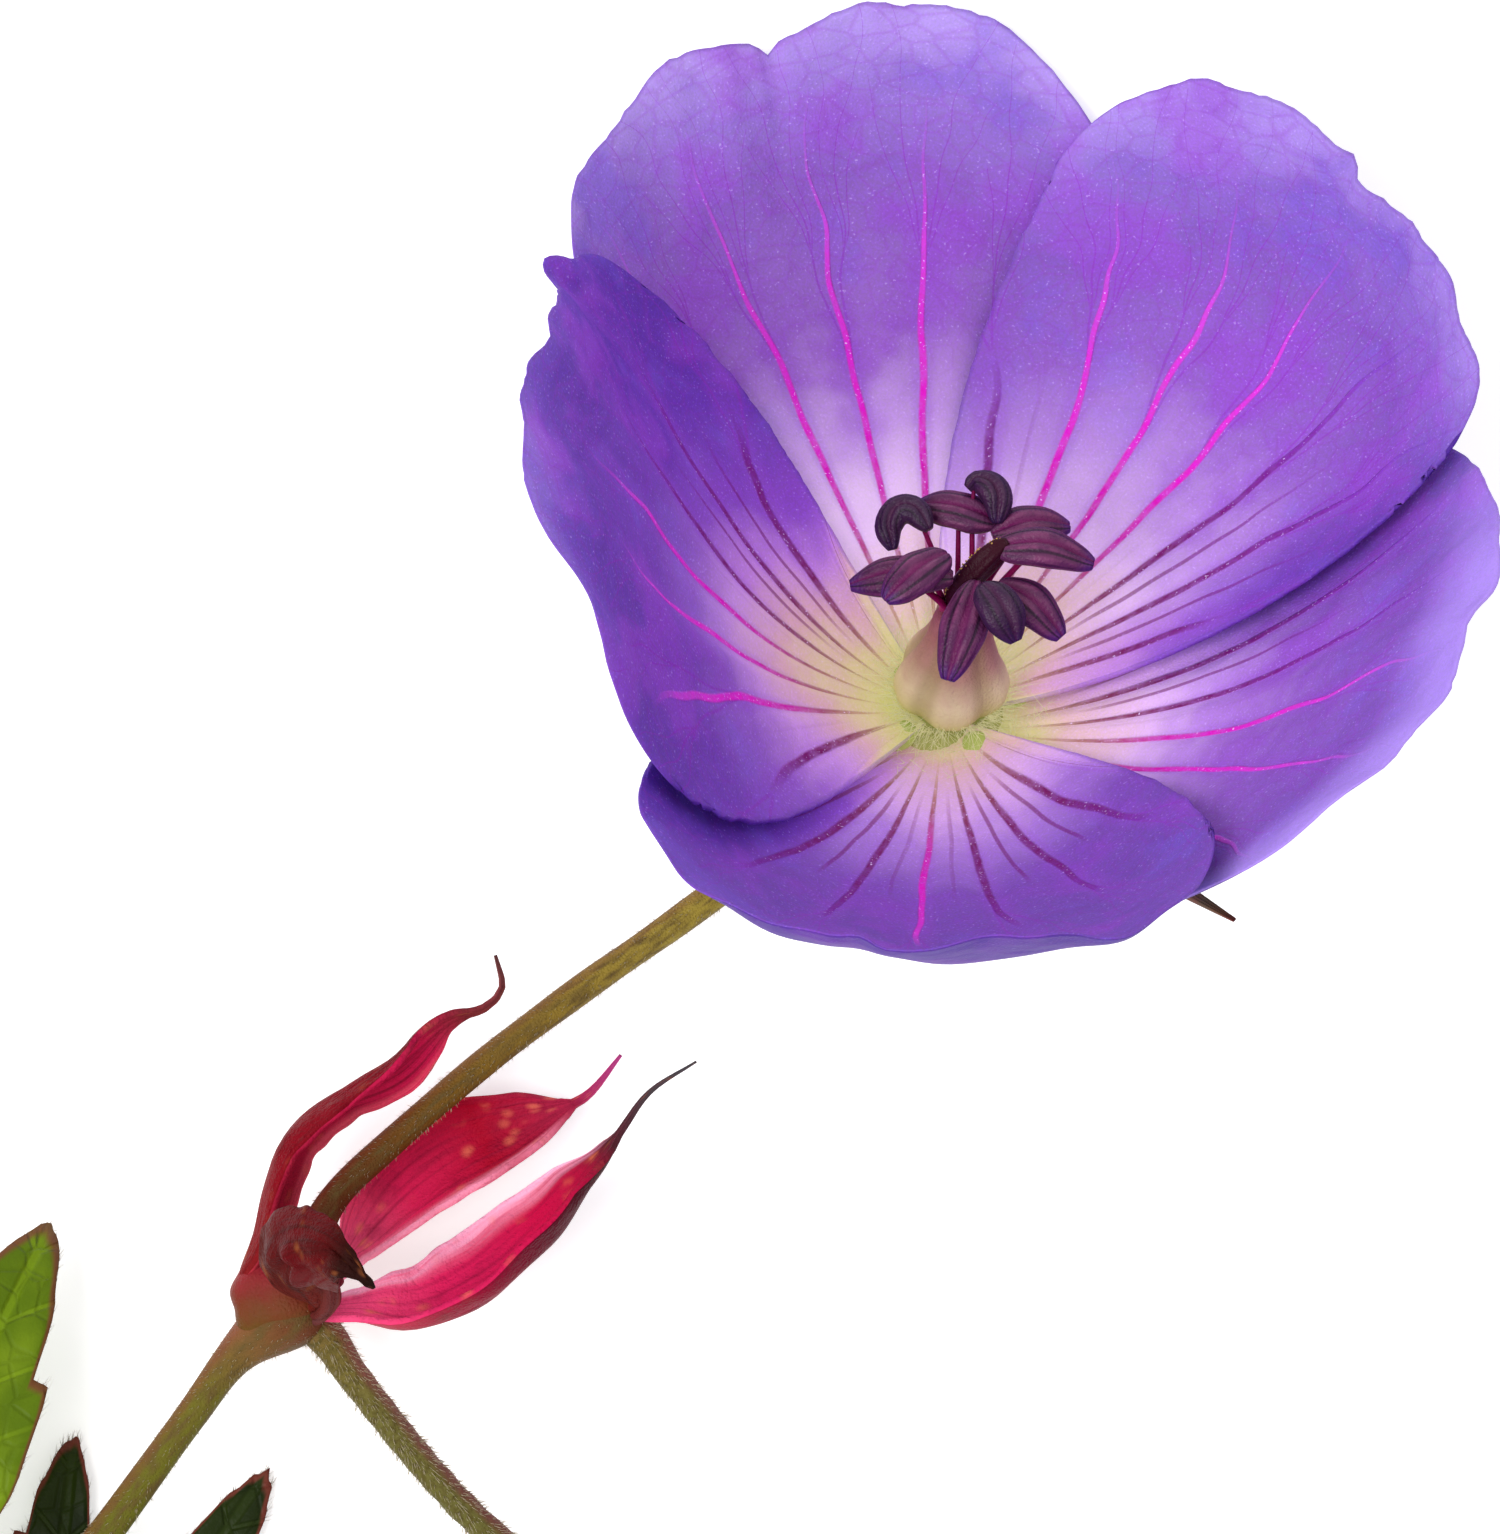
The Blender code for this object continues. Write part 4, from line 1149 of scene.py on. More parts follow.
# %% Anther finish
def anther_finish(name, dark):
    """Purple-brown satin with dark slits and a magenta groove."""
    material, tree, where = new_finish(name, 0.42, 0.25)
    vector, turn, along = two_numbers(tree, "skin")
    skin = use_group(tree, living_skin, {"Vector": where, "Cell Size": 0.12, "Cloud Size": 0.9})
    streaks = noise(tree, stretched(tree, vector, 16.0, 1.6), 1.0, 1.0)
    base = blend(tree, fade(tree, streaks, 0.3, 0.7), ink(64, 16, 60), ink(120, 56, 98))
    base = blend(tree, fade(tree, skin["Clouds"], 0.45, 0.65), base, ink(86, 34, 76))
    base = tint(tree, base, fade(tree, along, 0.8, 1.0), 0.6, (74, 34, 116))
    base = blend(tree, dark, base, ink(36, 20, 50))
    from_top = beside(tree, turn, 0.25)
    lobe = beside(tree, from_top, 0.1)
    base = tint(tree, base, fade(tree, lobe, 0.024, 0.004), 0.85, (34, 12, 36))
    base = tint(tree, base, fade(tree, from_top, 0.04, 0.0), 0.8 * (1 - dark), (104, 8, 80))
    return dress(material, base, times_plus(tree, streaks, 0.5, skin["Cells"]), 0.05)


anther_purple = anther_finish("anther_purple", 0.0)
anther_black = anther_finish("anther_black", 0.75)
for anther_name in ANTHERS:
    finish = anther_black if anther_name in DARK else anther_purple
    piece(anther_name, anther_body(anther_name), "stamens", [finish])
print("anthers:", len(ANTHERS))

# %% [markdown]
# ## Filaments
# Above the cone the filaments are thin flat ribbons, dark magenta, each running from its own
# ridge to the middle of its anther. They are short tubes, wider than deep.

# %% Filaments
FIRST_FILAMENT = math.radians(-126.0)
LEAVES_CONE_AT, STANDS_FREE_AT = 6.0, 7.9


def ribbon_section(angle, along, size):
    """A flat oval."""
    return size, size * 0.6


def filament_bodies():
    """Ten ribbons from the cone to the anthers."""
    bodies = []
    for place, points in enumerate(ANTHERS.values()):
        turn = FIRST_FILAMENT + 2 * math.pi * place / len(ANTHERS)
        x, y, height = points[1]
        lean = COLUMN_LEAN * COLUMN_TOP
        out, up = math.sin(turn), math.cos(turn)
        knots = ((0.95 * out + lean, 0.95 * up, LEAVES_CONE_AT),
                 (0.98 * out + lean, 0.98 * up, STANDS_FREE_AT),
                 (x * 0.8, y * 0.8, height - 0.5), (x, y, height - 0.1))
        line = smooth_line([in_flower(*knot) for knot in knots], 0.4)
        size = np.interp(shares_along(line), (0.0, 0.3, 1.0), (0.34, 0.23, 0.16))
        rows = np.column_stack([line, size])
        bodies.append(tube(rows, 10, 16, ribbon_section, up=(1.0, 0.0, 0.0)))
    return merge(bodies)


def filament_finish():
    """Pale pink at the cone, dark magenta above."""
    material, tree, where = new_finish("filament_magenta", 0.4)
    _, _, along = two_numbers(tree, "skin")
    base = colour_row(tree, along, (
        (0.0, (190, 130, 126)), (0.22, (170, 60, 104)), (0.5, (144, 14, 80)),
        (1.0, (100, 8, 62))))
    return dress(material, base, noise(tree, where, 9000.0), 0.03)


filaments = piece("stamen_filaments", filament_bodies(), "stamens",
                  [filament_finish()])
print(filaments.name, len(filaments.data.polygons), "faces")

# %% [markdown]
# ## Hairs, cushion and nectar glands round the cone
# A ring of fine curly cream hairs covers the foot of the cone and the petals' claws, and
# between the claws sit green glands that give nectar. The hairs are strewn spikes, bent to
# one side.

# %% Fuzz round the cone
def plain_finish(name, colour, roughness, cell=0.15, through=0.0):
    """One colour with soft clouds and fine cells."""
    material, tree, where = new_finish(name, roughness)
    skin = use_group(tree, living_skin, {"Vector": where, "Cell Size": cell, "Cloud Size": 1.5})
    base = blend(tree, skin["Clouds"], ink(*scaled(colour, 0.78)), ink(*colour))
    shine_through(material, base, through)
    return dress(material, base, skin["Cells"], 0.04)


def cone_fuzz(count):
    """Hairs that stand out round the foot of the cone."""
    turn = chance.uniform(0, 2 * np.pi, count)
    height = chance.uniform(0.7, 2.1, count)
    radius = np.interp(height, (0.7, 1.5, 2.1), (1.7, 2.2, 2.4))
    bases = in_flower(radius * np.cos(turn), radius * np.sin(turn), height)
    out = np.multiply.outer(np.cos(turn), RIGHT) + np.multiply.outer(np.sin(turn), UP)
    aims = out + AXIS * chance.uniform(-0.05, 0.7, (count, 1)) + chance.normal(0, 0.3, (count, 3))
    lengths = chance.uniform(0.7, 1.9, count)
    bends = chance.normal(0, 0.42, (count, 3)) + AXIS * 0.1
    return strewn(spike(4, 6), bases, aims, lengths, np.full(count, 0.016), bends)


def claw_fuzz(count):
    """Hairs on the petals' claws."""
    turn = chance.uniform(0, 2 * np.pi, count)
    radius = chance.uniform(2.2, 4.6, count)
    height = 0.28 * (radius - BOWL_FOOT_RADIUS) + 0.45
    bases = in_flower(radius * np.cos(turn), radius * np.sin(turn), height)
    aims = AXIS + chance.normal(0, 0.8, (count, 3))
    bends = chance.normal(0, 0.4, (count, 3))
    return strewn(spike(4, 6), bases, aims, chance.uniform(0.5, 1.3, count),
                  np.full(count, 0.014), bends)


hair_cream = plain_finish("hair_cream", (232, 232, 176), 0.5, through=0.3)
piece("cone_fuzz", cone_fuzz(520), "stamens", [hair_cream])
fuzz = piece("claw_fuzz", claw_fuzz(420), "stamens", [hair_cream])
print(fuzz.name, len(fuzz.data.polygons), "faces")

# %% [markdown]
# The glands are small domes, and they and the cone stand on a flat cushion, which is a ball
# pressed flat: it closes the gaps that the slim claws leave.

# %% Glands and cushion
GLAND_FACINGS = (15.0, 80.0, 150.0, 227.0, 306.0)
GLAND_RING = 2.8
CUSHION_RADIUS, CUSHION_HEIGHT = 2.5, 0.55


def gland_domes():
    """Five green glands between the claws."""
    bodies = []
    for facing in GLAND_FACINGS:
        turn = math.radians(facing)
        bm = ball(3)
        bmesh.ops.scale(bm, vec=(0.7, 0.9, 0.4), verts=bm.verts)
        bmesh.ops.rotate(bm, cent=(0, 0, 0), matrix=Matrix.Rotation(-turn, 3, "Z"),
                         verts=bm.verts)
        flat = corners(bm)
        move(bm, in_flower(flat[:, 0] + GLAND_RING * math.sin(turn),
                           flat[:, 1] + GLAND_RING * math.cos(turn), flat[:, 2] + 0.75))
        bodies.append(bm)
    return merge(bodies)


def nectar_disc():
    """The flat cushion under the cone that closes the gaps between the claws."""
    bm = ball(4)
    x, y, height = corners(bm).T
    move(bm, in_flower(x * CUSHION_RADIUS, y * CUSHION_RADIUS, height * CUSHION_HEIGHT + 0.2))
    return bm


gland_green = plain_finish("gland_green", (190, 206, 110), 0.35, 0.1, through=0.25)
disc_cream = plain_finish("disc_cream", (190, 196, 112), 0.5, 0.1, through=0.15)
piece("nectar_disc", nectar_disc(), "stamens", [disc_cream])
glands = piece("nectar_glands", gland_domes(), "stamens", [gland_green])
print(glands.name)

# %% [markdown]
# ## The pistil
# Among the anthers stands the closed stigma, a thick dark maroon club on a slimmer style,
# split lengthwise into five arms that still touch. A few grains of yellow pollen stick to
# it. The arms are five shallow ridges of the tube's cross-section, and the pollen is a
# handful of tiny strewn balls.

# %% Pistil and pollen
# In the flower's directions: right, up, height and radius
PISTIL_LINE = ((0.26, 0.0, 5.6, 0.24), (0.2, 0.0, 6.9, 0.3), (-0.1, -0.2, 8.0, 0.42),
               (0.1, -0.15, 8.9, 0.52), (0.8, 0.15, 9.9, 0.56), (1.5, 0.5, 10.6, 0.5),
               (2.0, 0.75, 10.9, 0.22))


def pistil_rows():
    """The style's line on the sprig, with its radius."""
    points = np.array(PISTIL_LINE)
    return np.column_stack([in_flower(points[:, 0], points[:, 1], points[:, 2]), points[:, 3]])


def pistil_body():
    """Style and stigma in one tube with five ridges."""
    def section(angle, along, size):
        ridge = 1 + 0.1 * np.cos(5 * angle) * np.clip(along * 2 - 0.6, 0, 1)
        return size * ridge, size * ridge

    return tube(smooth_line(pistil_rows(), 0.2), 40, 44, section, up=(1.0, 0.0, 0.0))


def pollen_grains(count):
    """Yellow grains on one side of the stigma."""
    middles, radii, out, _ = spots_round(
        smooth_line(pistil_rows(), 0.2), chance.uniform(0.45, 0.97, count),
        chance.uniform(2.6, 5.2, count), (1.0, 0.0, 0.0))
    size = chance.uniform(0.025, 0.06, count)
    return strewn(ball(1), middles + out * radii * 1.02, out, size, size, np.zeros((count, 3)))


stigma_maroon = plain_finish("stigma_maroon", (58, 12, 30), 0.4, 0.1)
pollen_yellow = plain_finish("pollen_yellow", (214, 170, 96), 0.6, 0.05)
piece("pistil_club", pistil_body(), "pistil", [stigma_maroon])
pollen = piece("pistil_pollen", pollen_grains(90), "pistil", [pollen_yellow])
print(pollen.name)

# %% [markdown]
# ## Sepals
# Five green sepals hold the petals from behind. Each is a narrow boat-shaped blade with
# raised ribs that ends in a thread. From above one thread peeps out at the lower right, and
# all of them show from the back. The fan map is not needed here: the ribs run straight, so
# they come from the share across.

# %% Sepals
# Each sepal: where it faces round the flower, and its angle from the axis at foot and tip
SEPALS = {
    "sepal_right": (63, 76, 66),
    "sepal_lower_right": (129.5, 90, 84),
    "sepal_bottom": (207, 76, 50),
    "sepal_left": (279, 76, 44),
    "sepal_top": (351, 72, 68),
}
SEPAL_LENGTH = 14.4
SEPAL_HALF_WIDTH = 2.5
SEPAL_FOOT_RADIUS = 1.45
SEPAL_FOOT_DROP = 1.55
SEPAL_RIBS = 7


def sepal_places(name, u, v):
    """Places on a sepal for shares across (-1 to 1) and along."""
    facing, base_angle, tip_angle = SEPALS[name]
    body = np.minimum(v / 0.8, 1.0)
    blade = SEPAL_HALF_WIDTH * (0.3 + 0.7 * np.sin(np.pi * np.minimum(body * 1.1, 1.0) ** 0.8))
    thread = np.interp(v, (0.0, 0.8, 1.0), (0.3, 0.3, 0.09))
    half = np.maximum(blade * (1 - body ** 3), thread)
    along = v * SEPAL_LENGTH
    angle = np.radians(base_angle + (tip_angle - base_angle) * v / 2)
    radius = SEPAL_FOOT_RADIUS + along * np.sin(angle)
    half = np.minimum(half, 0.5 * radius)
    height = along * np.cos(angle) - SEPAL_FOOT_DROP + 0.06 * np.cos(4 * np.pi * u) * (1 - v)
    turn = np.radians(facing) + u * half / np.maximum(radius, SEPAL_FOOT_RADIUS)
    return in_flower(radius * np.sin(turn), radius * np.cos(turn), height)


def sepal_blade(name):
    """One sepal's sheet."""
    bm, across, along = sheet(28, 70)
    move(bm, sepal_places(name, 2 * across - 1, along))
    write_map(bm, "blade", across, along)
    thin_out(bm, np.interp(along, (0.0, 0.75, 0.85, 1.0), (1.0, 1.0, 0.8, 0.3)))
    return bm


print("sepals:", list(SEPALS))

# %% [markdown]
# Fine hairs stand off the backs of all five sepals. They are one piece, because they are
# one fur. The ribs of the finish come from a wave across the blade.

# %% Sepal hairs and finish
def sepal_hairs(count):
    """Fine hairs on the backs of the sepals."""
    bases, aims = [], []
    for name in SEPALS:
        u = chance.uniform(-1, 1, count)
        v = chance.uniform(0.02, 0.8, count)
        bases.append(sepal_places(name, u, v) - AXIS * 0.15)
        aims.append(np.tile(-AXIS, (count, 1)) + chance.normal(0, 0.35, (count, 3)))
    total = count * len(SEPALS)
    return strewn(spike(3, 2), np.vstack(bases), np.vstack(aims),
                  chance.uniform(0.3, 0.8, total), np.full(total, 0.025),
                  chance.normal(0, 0.1, (total, 3)))


def sepal_finish():
    """Green with darker ribs, reddish clouds and a red-brown tip."""
    material, tree, where = new_finish("sepal_green", 0.55)
    _, across, along = two_numbers(tree, "blade")
    skin = use_group(tree, living_skin, {"Vector": where, "Cell Size": 0.18, "Cloud Size": 2.5})
    base = colour_row(tree, along, (
        (0.0, (120, 106, 60)), (0.25, (112, 116, 60)), (0.7, (104, 92, 62)),
        (0.86, (88, 84, 70)), (0.95, (112, 74, 52)), (1.0, (116, 40, 40))))
    base = blend(tree, fade(tree, skin["Clouds"], 0.45, 0.7), base, ink(128, 70, 62))
    rib = maths(tree, "COSINE", times(tree, across, SEPAL_RIBS * math.pi))
    rib = maths(tree, "ABSOLUTE", rib)
    base = tint(tree, base, fade(tree, rib, 0.3, 0.0), 0.5, (78, 84, 38))
    return dress(material, base, rib, 0.12)


sepal_green = sepal_finish()
hair_white = plain_finish("hair_white", (228, 222, 214), 0.5)
for sepal_name in SEPALS:
    piece(sepal_name + "_blade", sepal_blade(sepal_name), sepal_name, [sepal_green],
          thickness=0.3, floor=TABLE_GAP + 0.05)
sepal_fuzz = piece("sepal_hairs", sepal_hairs(260), list(SEPALS), [hair_white])
print(sepal_fuzz.name, len(sepal_fuzz.data.polygons), "faces")

# %% [markdown]
# ## Stalks
# One stem carries everything: from the cut end over the leaf node and the fork with the
# bracts up to the flower, and a side stalk from the fork to the bud. Each is one tube along
# a measured line, a little uneven as living stalks are.

# %% Stalk lines
# Places on the sprig with the stalk's radius, from the cut end to the flower
MAIN_STEM = (
    (-46.6, -52.6, 1.12, 1.25), (-45.7, -50.0, 1.16, 1.24), (-44.6, -47.0, 1.7, 1.3),
    (-43.4, -44.2, 2.4, 1.75), (-41.7, -42.2, 2.7, 1.05), (-36.5, -35.8, 3.3, 0.76),
    (-32.8, -30.7, 3.8, 0.7), (-30.7, -27.9, 4.0, 0.85), (-28.3, -25.8, 4.2, 1.75),
    (-27.8, -24.3, 4.2, 1.0), (-26.5, -21.2, 4.2, 0.66), (-23.9, -18.6, 3.8, 0.62),
    (-18.9, -14.4, 3.3, 0.62), (-13.0, -10.1, 2.8, 0.64), (-6.0, -5.3, 2.7, 0.68),
    (-2.6, -3.5, 2.9, 0.75))
# From the fork to the bud
SIDE_STEM = (
    (-28.3, -25.8, 4.2, 0.9), (-26.8, -27.0, 3.9, 0.85), (-25.5, -28.9, 3.7, 0.7),
    (-22.4, -32.8, 3.4, 0.66), (-19.6, -35.7, 3.2, 0.66), (-16.5, -38.0, 3.1, 0.7),
    (-13.9, -39.2, 3.0, 0.85))
# Height over the flower's foot, and radius
RECEPTACLE = ((-4.4, 0.85), (-3.2, 1.15), (-2.5, 1.65), (-2.05, 1.55), (-1.95, 1.0), (0.3, 0.95))


def main_line():
    """The stem's line, up through the flower's receptacle."""
    neck = [(*in_flower(0.0, 0.0, height), radius) for height, radius in RECEPTACLE]
    line = smooth_line(list(MAIN_STEM) + neck[:1], 0.6)
    return np.vstack([line, neck[1:]])


def stalk_body(line, sides, rows, seed):
    """A slightly uneven round stalk."""
    def section(angle, along, size):
        uneven = 1 + 0.035 * waves(along * 60 + 2 * np.cos(angle), seed, 5, 1.0)
        return size * uneven, size * uneven

    return tube(line, sides, rows, section)


print("places along the main stem:", len(MAIN_STEM) + len(RECEPTACLE))

# %% [markdown]
# Short hairs lean along the stalks. Their colours change along the way and round the stalk,
# so the finish has two rows of colours: one for all round and one for a single side.

# %% Stalk hairs and finish
def stalk_hairs(line, count, lengths, slant):
    """Hairs that lean back along a stalk."""
    middles, radii, out, ahead = spots_round(
        line, chance.uniform(0.0, 1.0, count), chance.uniform(0, 2 * np.pi, count))
    aims = out + ahead * chance.normal(slant, 0.25, (count, 1))
    size = chance.uniform(*lengths, count)
    return strewn(spike(3, 2), middles + out * radii * 0.97, aims, size, np.full(count, 0.017),
                  ahead * (slant * 0.25 * size)[:, None])


STREAK_BROWN = (70, 52, 16)


def stalk_finish(name, along_colours, side_colours, side_share):
    """Colours along the stalk, a second set of colours round one side, fine streaks."""
    material, tree, where = new_finish(name, 0.5)
    vector, turn, along = two_numbers(tree, "skin")
    skin = use_group(tree, living_skin, {"Vector": where, "Cell Size": 0.1, "Cloud Size": 1.2})
    streaks = noise(tree, stretched(tree, vector, 14.0, 60.0), 1.0, 3.0)
    base = colour_row(tree, along, along_colours)
    streak = [0.5 * (a + b) for a, b in zip(along_colours[-1][1], STREAK_BROWN)]
    base = blend(tree, fade(tree, streaks, 0.35, 0.75), base, ink(*streak))
    lit = maths(tree, "COSINE", times(tree, turn, 2 * math.pi))
    lit = times_plus(tree, skin["Clouds"], 0.5, lit)
    lit_share = times(tree, fade(tree, lit, 0.45, 1.1), side_share)
    base = blend(tree, lit_share, base, colour_row(tree, along, side_colours))
    return dress(material, base, times_plus(tree, streaks, 0.8, skin["Cells"]), 0.08)


# %% [markdown]
# The flower's stalk is olive with a red-brown stretch at the fork. The side stalk is greener
# above and redder on its shaded side, and its hairs are longer and stand off more.

# %% Stalks with their hairs
stem_olive = stalk_finish(
    "stem_olive",
    ((0.0, (96, 100, 40)), (0.12, (100, 96, 36)), (0.14, (116, 100, 36)), (0.2, (92, 98, 16)),
     (0.37, (104, 98, 28)), (0.41, (120, 84, 44)), (0.45, (96, 32, 22)), (0.49, (90, 36, 16)),
     (0.6, (112, 80, 22)), (0.75, (150, 130, 50)), (0.92, (150, 130, 52)), (0.96, (120, 100, 60))),
    ((0.0, (118, 60, 40)), (0.38, (130, 70, 50)), (0.44, (150, 60, 60)), (0.6, (120, 72, 40)),
     (1.0, (136, 96, 60))), 0.5)
side_stem_green = stalk_finish(
    "side_stem_green",
    ((0.0, (134, 92, 60)), (0.12, (112, 96, 44)), (0.3, (106, 100, 48)), (1.0, (98, 96, 46))),
    ((0.0, (140, 80, 70)), (0.3, (120, 76, 66)), (1.0, (100, 44, 40))), 0.95)
stem_line = main_line()
side_line = smooth_line(SIDE_STEM, 0.5)
piece("stem_main", stalk_body(stem_line, 32, 260, 3), "stem", [stem_olive])
piece("stem_side", stalk_body(side_line, 28, 90, 4), "stem", [side_stem_green])
stalk_hair = plain_finish("hair_pale", (206, 192, 160), 0.5)
piece("stem_hairs", stalk_hairs(stem_line, 3000, (0.1, 0.24), -0.5), "stem",
      [stalk_hair])
side_fuzz = piece("side_stem_hairs", stalk_hairs(side_line, 2400, (0.12, 0.42), 0.7), "stem",
                  [stalk_hair])
print(side_fuzz.name, len(side_fuzz.data.polygons), "faces")

# %% [markdown]
# Where the bracts part from the stem, the stalk is swollen into a knuckle. The tube alone is
# too even there, so a lumpy ball is sunk into it. It is an icosphere, stretched along the
# stem and pushed in and out by a soft random ripple.

# %% The knuckle under the bracts
def knuckle_body(centre, sizes, seed):
    """A lumpy ball."""
    bm = ball(5)
    round_places = corners(bm)
    x, y, z = round_places.T
    lumps = 1 + 0.06 * waves(x * 2 + z, seed, 5, 2.0)
    lumps = lumps + 0.05 * waves(y * 3 - x, seed + 1, 5, 2.0)
    move(bm, np.array(centre) + round_places * np.array(sizes) * lumps[:, None])
    write_map(bm, "skin", 0.5 + y / 2, 0.5 + x / 2)
    return bm


def knuckle_finish():
    """Olive brown below, flushed pink-red towards the bracts."""
    material, tree, where = new_finish("knuckle_brown", 0.5)
    _, up_share, _ = two_numbers(tree, "skin")
    skin = use_group(tree, living_skin, {"Vector": where, "Cell Size": 0.12, "Cloud Size": 1.4})
    drift = times_plus(tree, skin["Clouds"], 0.4, up_share)
    base = colour_row(tree, drift, (
        (0.15, (104, 92, 32)), (0.5, (104, 60, 26)), (0.75, (120, 42, 32)), (1.0, (142, 36, 46))))
    return dress(material, base, skin["Cells"], 0.06)


KNUCKLE_CENTRE = (-28.75, -25.3, 4.3)
KNUCKLE_SIZES = (2.1, 2.2, 1.7)
knuckle = piece("stem_knuckle", knuckle_body(KNUCKLE_CENTRE, KNUCKLE_SIZES, 41), "stem",
                [knuckle_finish()])
print(knuckle.name)

# %% [markdown]
# ## Bracts and the stipule
# At the fork sit four red bracts, boat-shaped with a thread at the tip. A bract is a grid
# folded round its keel: across it is an arc of a circle, as wide as the bract is there, open
# to the hollow side. The inner skin is brighter and lets light through, so the Solidify
# modifier gives the back its own finish.

# %% Bract shapes
# Each bract: the foot where it leaves the node, points along its keel, the side that it opens
# to (its tip may turn to another), its half width, the share of its length where the thread
# starts, how crumpled it is, and how suddenly it narrows
BRACTS = {
    "bract_left": dict(
        foot=(-30.2, -26.2, 4.2),
        keel=((-30.4, -24.6, 4.3), (-29.7, -22.6, 4.3), (-29.2, -20.4, 4.4), (-28.4, -18.4, 4.5),
              (-26.5, -16.7, 4.6), (-23.8, -15.3, 4.7), (-21.6, -13.4, 4.7), (-19.9, -12.8, 4.7),
              (-19.1, -11.9, 4.7), (-19.4, -10.5, 4.7)),
        hollow=(0.67, -0.74, 0.15), half_width=1.85, awn_from=0.86, tip_hollow=(0.5, -0.56, 0.66),
        blunt=8),
    "bract_middle": dict(
        foot=(-27.3, -25.0, 3.3),
        keel=((-25.6, -23.4, 2.5), (-23.5, -21.1, 1.8), (-21.3, -19.5, 1.5), (-18.6, -18.3, 1.6),
              (-16.4, -17.2, 2.1), (-15.3, -16.5, 2.4), (-14.0, -14.9, 2.4)),
        hollow=(-0.25, 0.28, 0.93), half_width=2.1, awn_from=0.82, blunt=9),
    "bract_right": dict(
        foot=(-27.0, -26.0, 4.2),
        keel=((-25.3, -25.9, 4.5), (-22.8, -26.2, 4.5), (-19.9, -25.1, 4.6), (-17.2, -22.7, 4.8),
              (-15.2, -20.0, 4.9), (-13.9, -18.0, 4.9), (-12.7, -16.4, 4.9), (-10.7, -15.1, 4.9)),
        hollow=(-0.62, 0.68, 0.38), half_width=2.8, awn_from=0.78, blunt=7),
    "bract_front": dict(
        foot=(-27.6, -26.0, 5.0),
        keel=((-27.0, -25.5, 6.5), (-27.9, -24.2, 8.6), (-27.8, -23.3, 11.2), (-26.3, -22.9, 13.8),
              (-25.0, -23.5, 14.6), (-24.2, -24.3, 14.2)),
        hollow=(0.3, 0.1, -0.95), half_width=2.0, awn_from=0.97, crumple=0.38, blunt=6),
    "stipule_upper": dict(
        foot=(-43.3, -43.9, 4.2),
        keel=((-42.9, -43.2, 4.7), (-41.9, -41.4, 5.4), (-40.6, -39.7, 5.6), (-39.7, -38.6, 5.3)),
        hollow=(0.1, -0.1, -1.0), half_width=1.3, awn_from=0.8),
}
print("bracts and stipule:", list(BRACTS))

# %% [markdown]
# The blade follows its keel from the foot on. A few random waves dent and frill it, fading
# out towards the thread, and the width comes from a formula: a narrow foot, a broad body,
# then the thread.

# %% Bract blades
BRACT_OPENING = math.radians(62.0)


def bract_width(v, half_width, awn_from, blunt):
    """Half width: narrow foot, broad body, a thread that thins out."""
    share = np.minimum(v / awn_from, 1.0)
    body = half_width * (0.38 + 0.62 * np.sin(np.pi * share ** 0.8)) * (1 - share ** blunt)
    return np.maximum(body, np.interp(v, (0.0, awn_from, 1.0), (0.2, 0.2, 0.07)))


def bract_blade(name, foot, keel, hollow, half_width, awn_from, crumple=0.09, tip_hollow=None,
                blunt=5):
    """One bract's sheet, gently crumpled, running down into the node at its foot."""
    bm, across, along = sheet(30, 120)
    u = 2 * across - 1
    seed = list(BRACTS).index(name) * 7 + 60
    line = smooth_line((foot,) + keel, 0.5)
    ahead = unit(np.gradient(line, axis=0))
    shares = shares_along(line)
    spot = look_up(along, shares, line)
    ahead = unit(look_up(along, shares, ahead))
    whole_length = np.linalg.norm(np.diff(line, axis=0), axis=1).sum()
    foot_share = np.linalg.norm(np.subtract(keel[0], foot)) / whole_length
    v = np.clip((along - foot_share) / (1 - foot_share), 0.0, 1.0)
    turned = np.clip((v - 0.5) / 0.2, 0.0, 1.0)[:, None]
    facing = np.array(hollow) * (1 - turned) + np.array(tip_hollow or hollow) * turned
    inward = unit(facing - ahead * (facing * ahead).sum(axis=1, keepdims=True))
    half = bract_width(v, half_width, awn_from, blunt)
    half = half * (0.55 + 0.45 * np.minimum(1.0, along / foot_share))
    frill = 0.05 * waves(along, seed, 6, 50.0) * np.abs(u) ** 4 * (half > 0.5)
    opening = BRACT_OPENING * np.minimum(1.0, half / (0.6 * half_width))
    size = (half + frill) / np.sin(opening)
    swing = opening * u
    dent = crumple * waves(along * 9 + u, seed + 1, 5, 2.2) * waves(u * 3 - along, seed + 2, 5, 2)
    dent = dent * np.minimum(1.0, half / half_width)
    places = spot + np.cross(ahead, inward) * (size * np.sin(swing))[:, None]
    places = places + inward * (size * (1 - np.cos(swing)) + dent)[:, None]
    move(bm, places)
    write_map(bm, "blade", across, v)
    thin_out(bm, np.interp(v, (0.0, awn_from - 0.1, awn_from, 1.0), (1.0, 1.0, 0.7, 0.2)))
    return bm


# %% [markdown]
# A bract's colours change along it, and fine streaks, blotches and one other edge colour lie
# over them. That edge is uneven, because its mask is multiplied by the streaks.

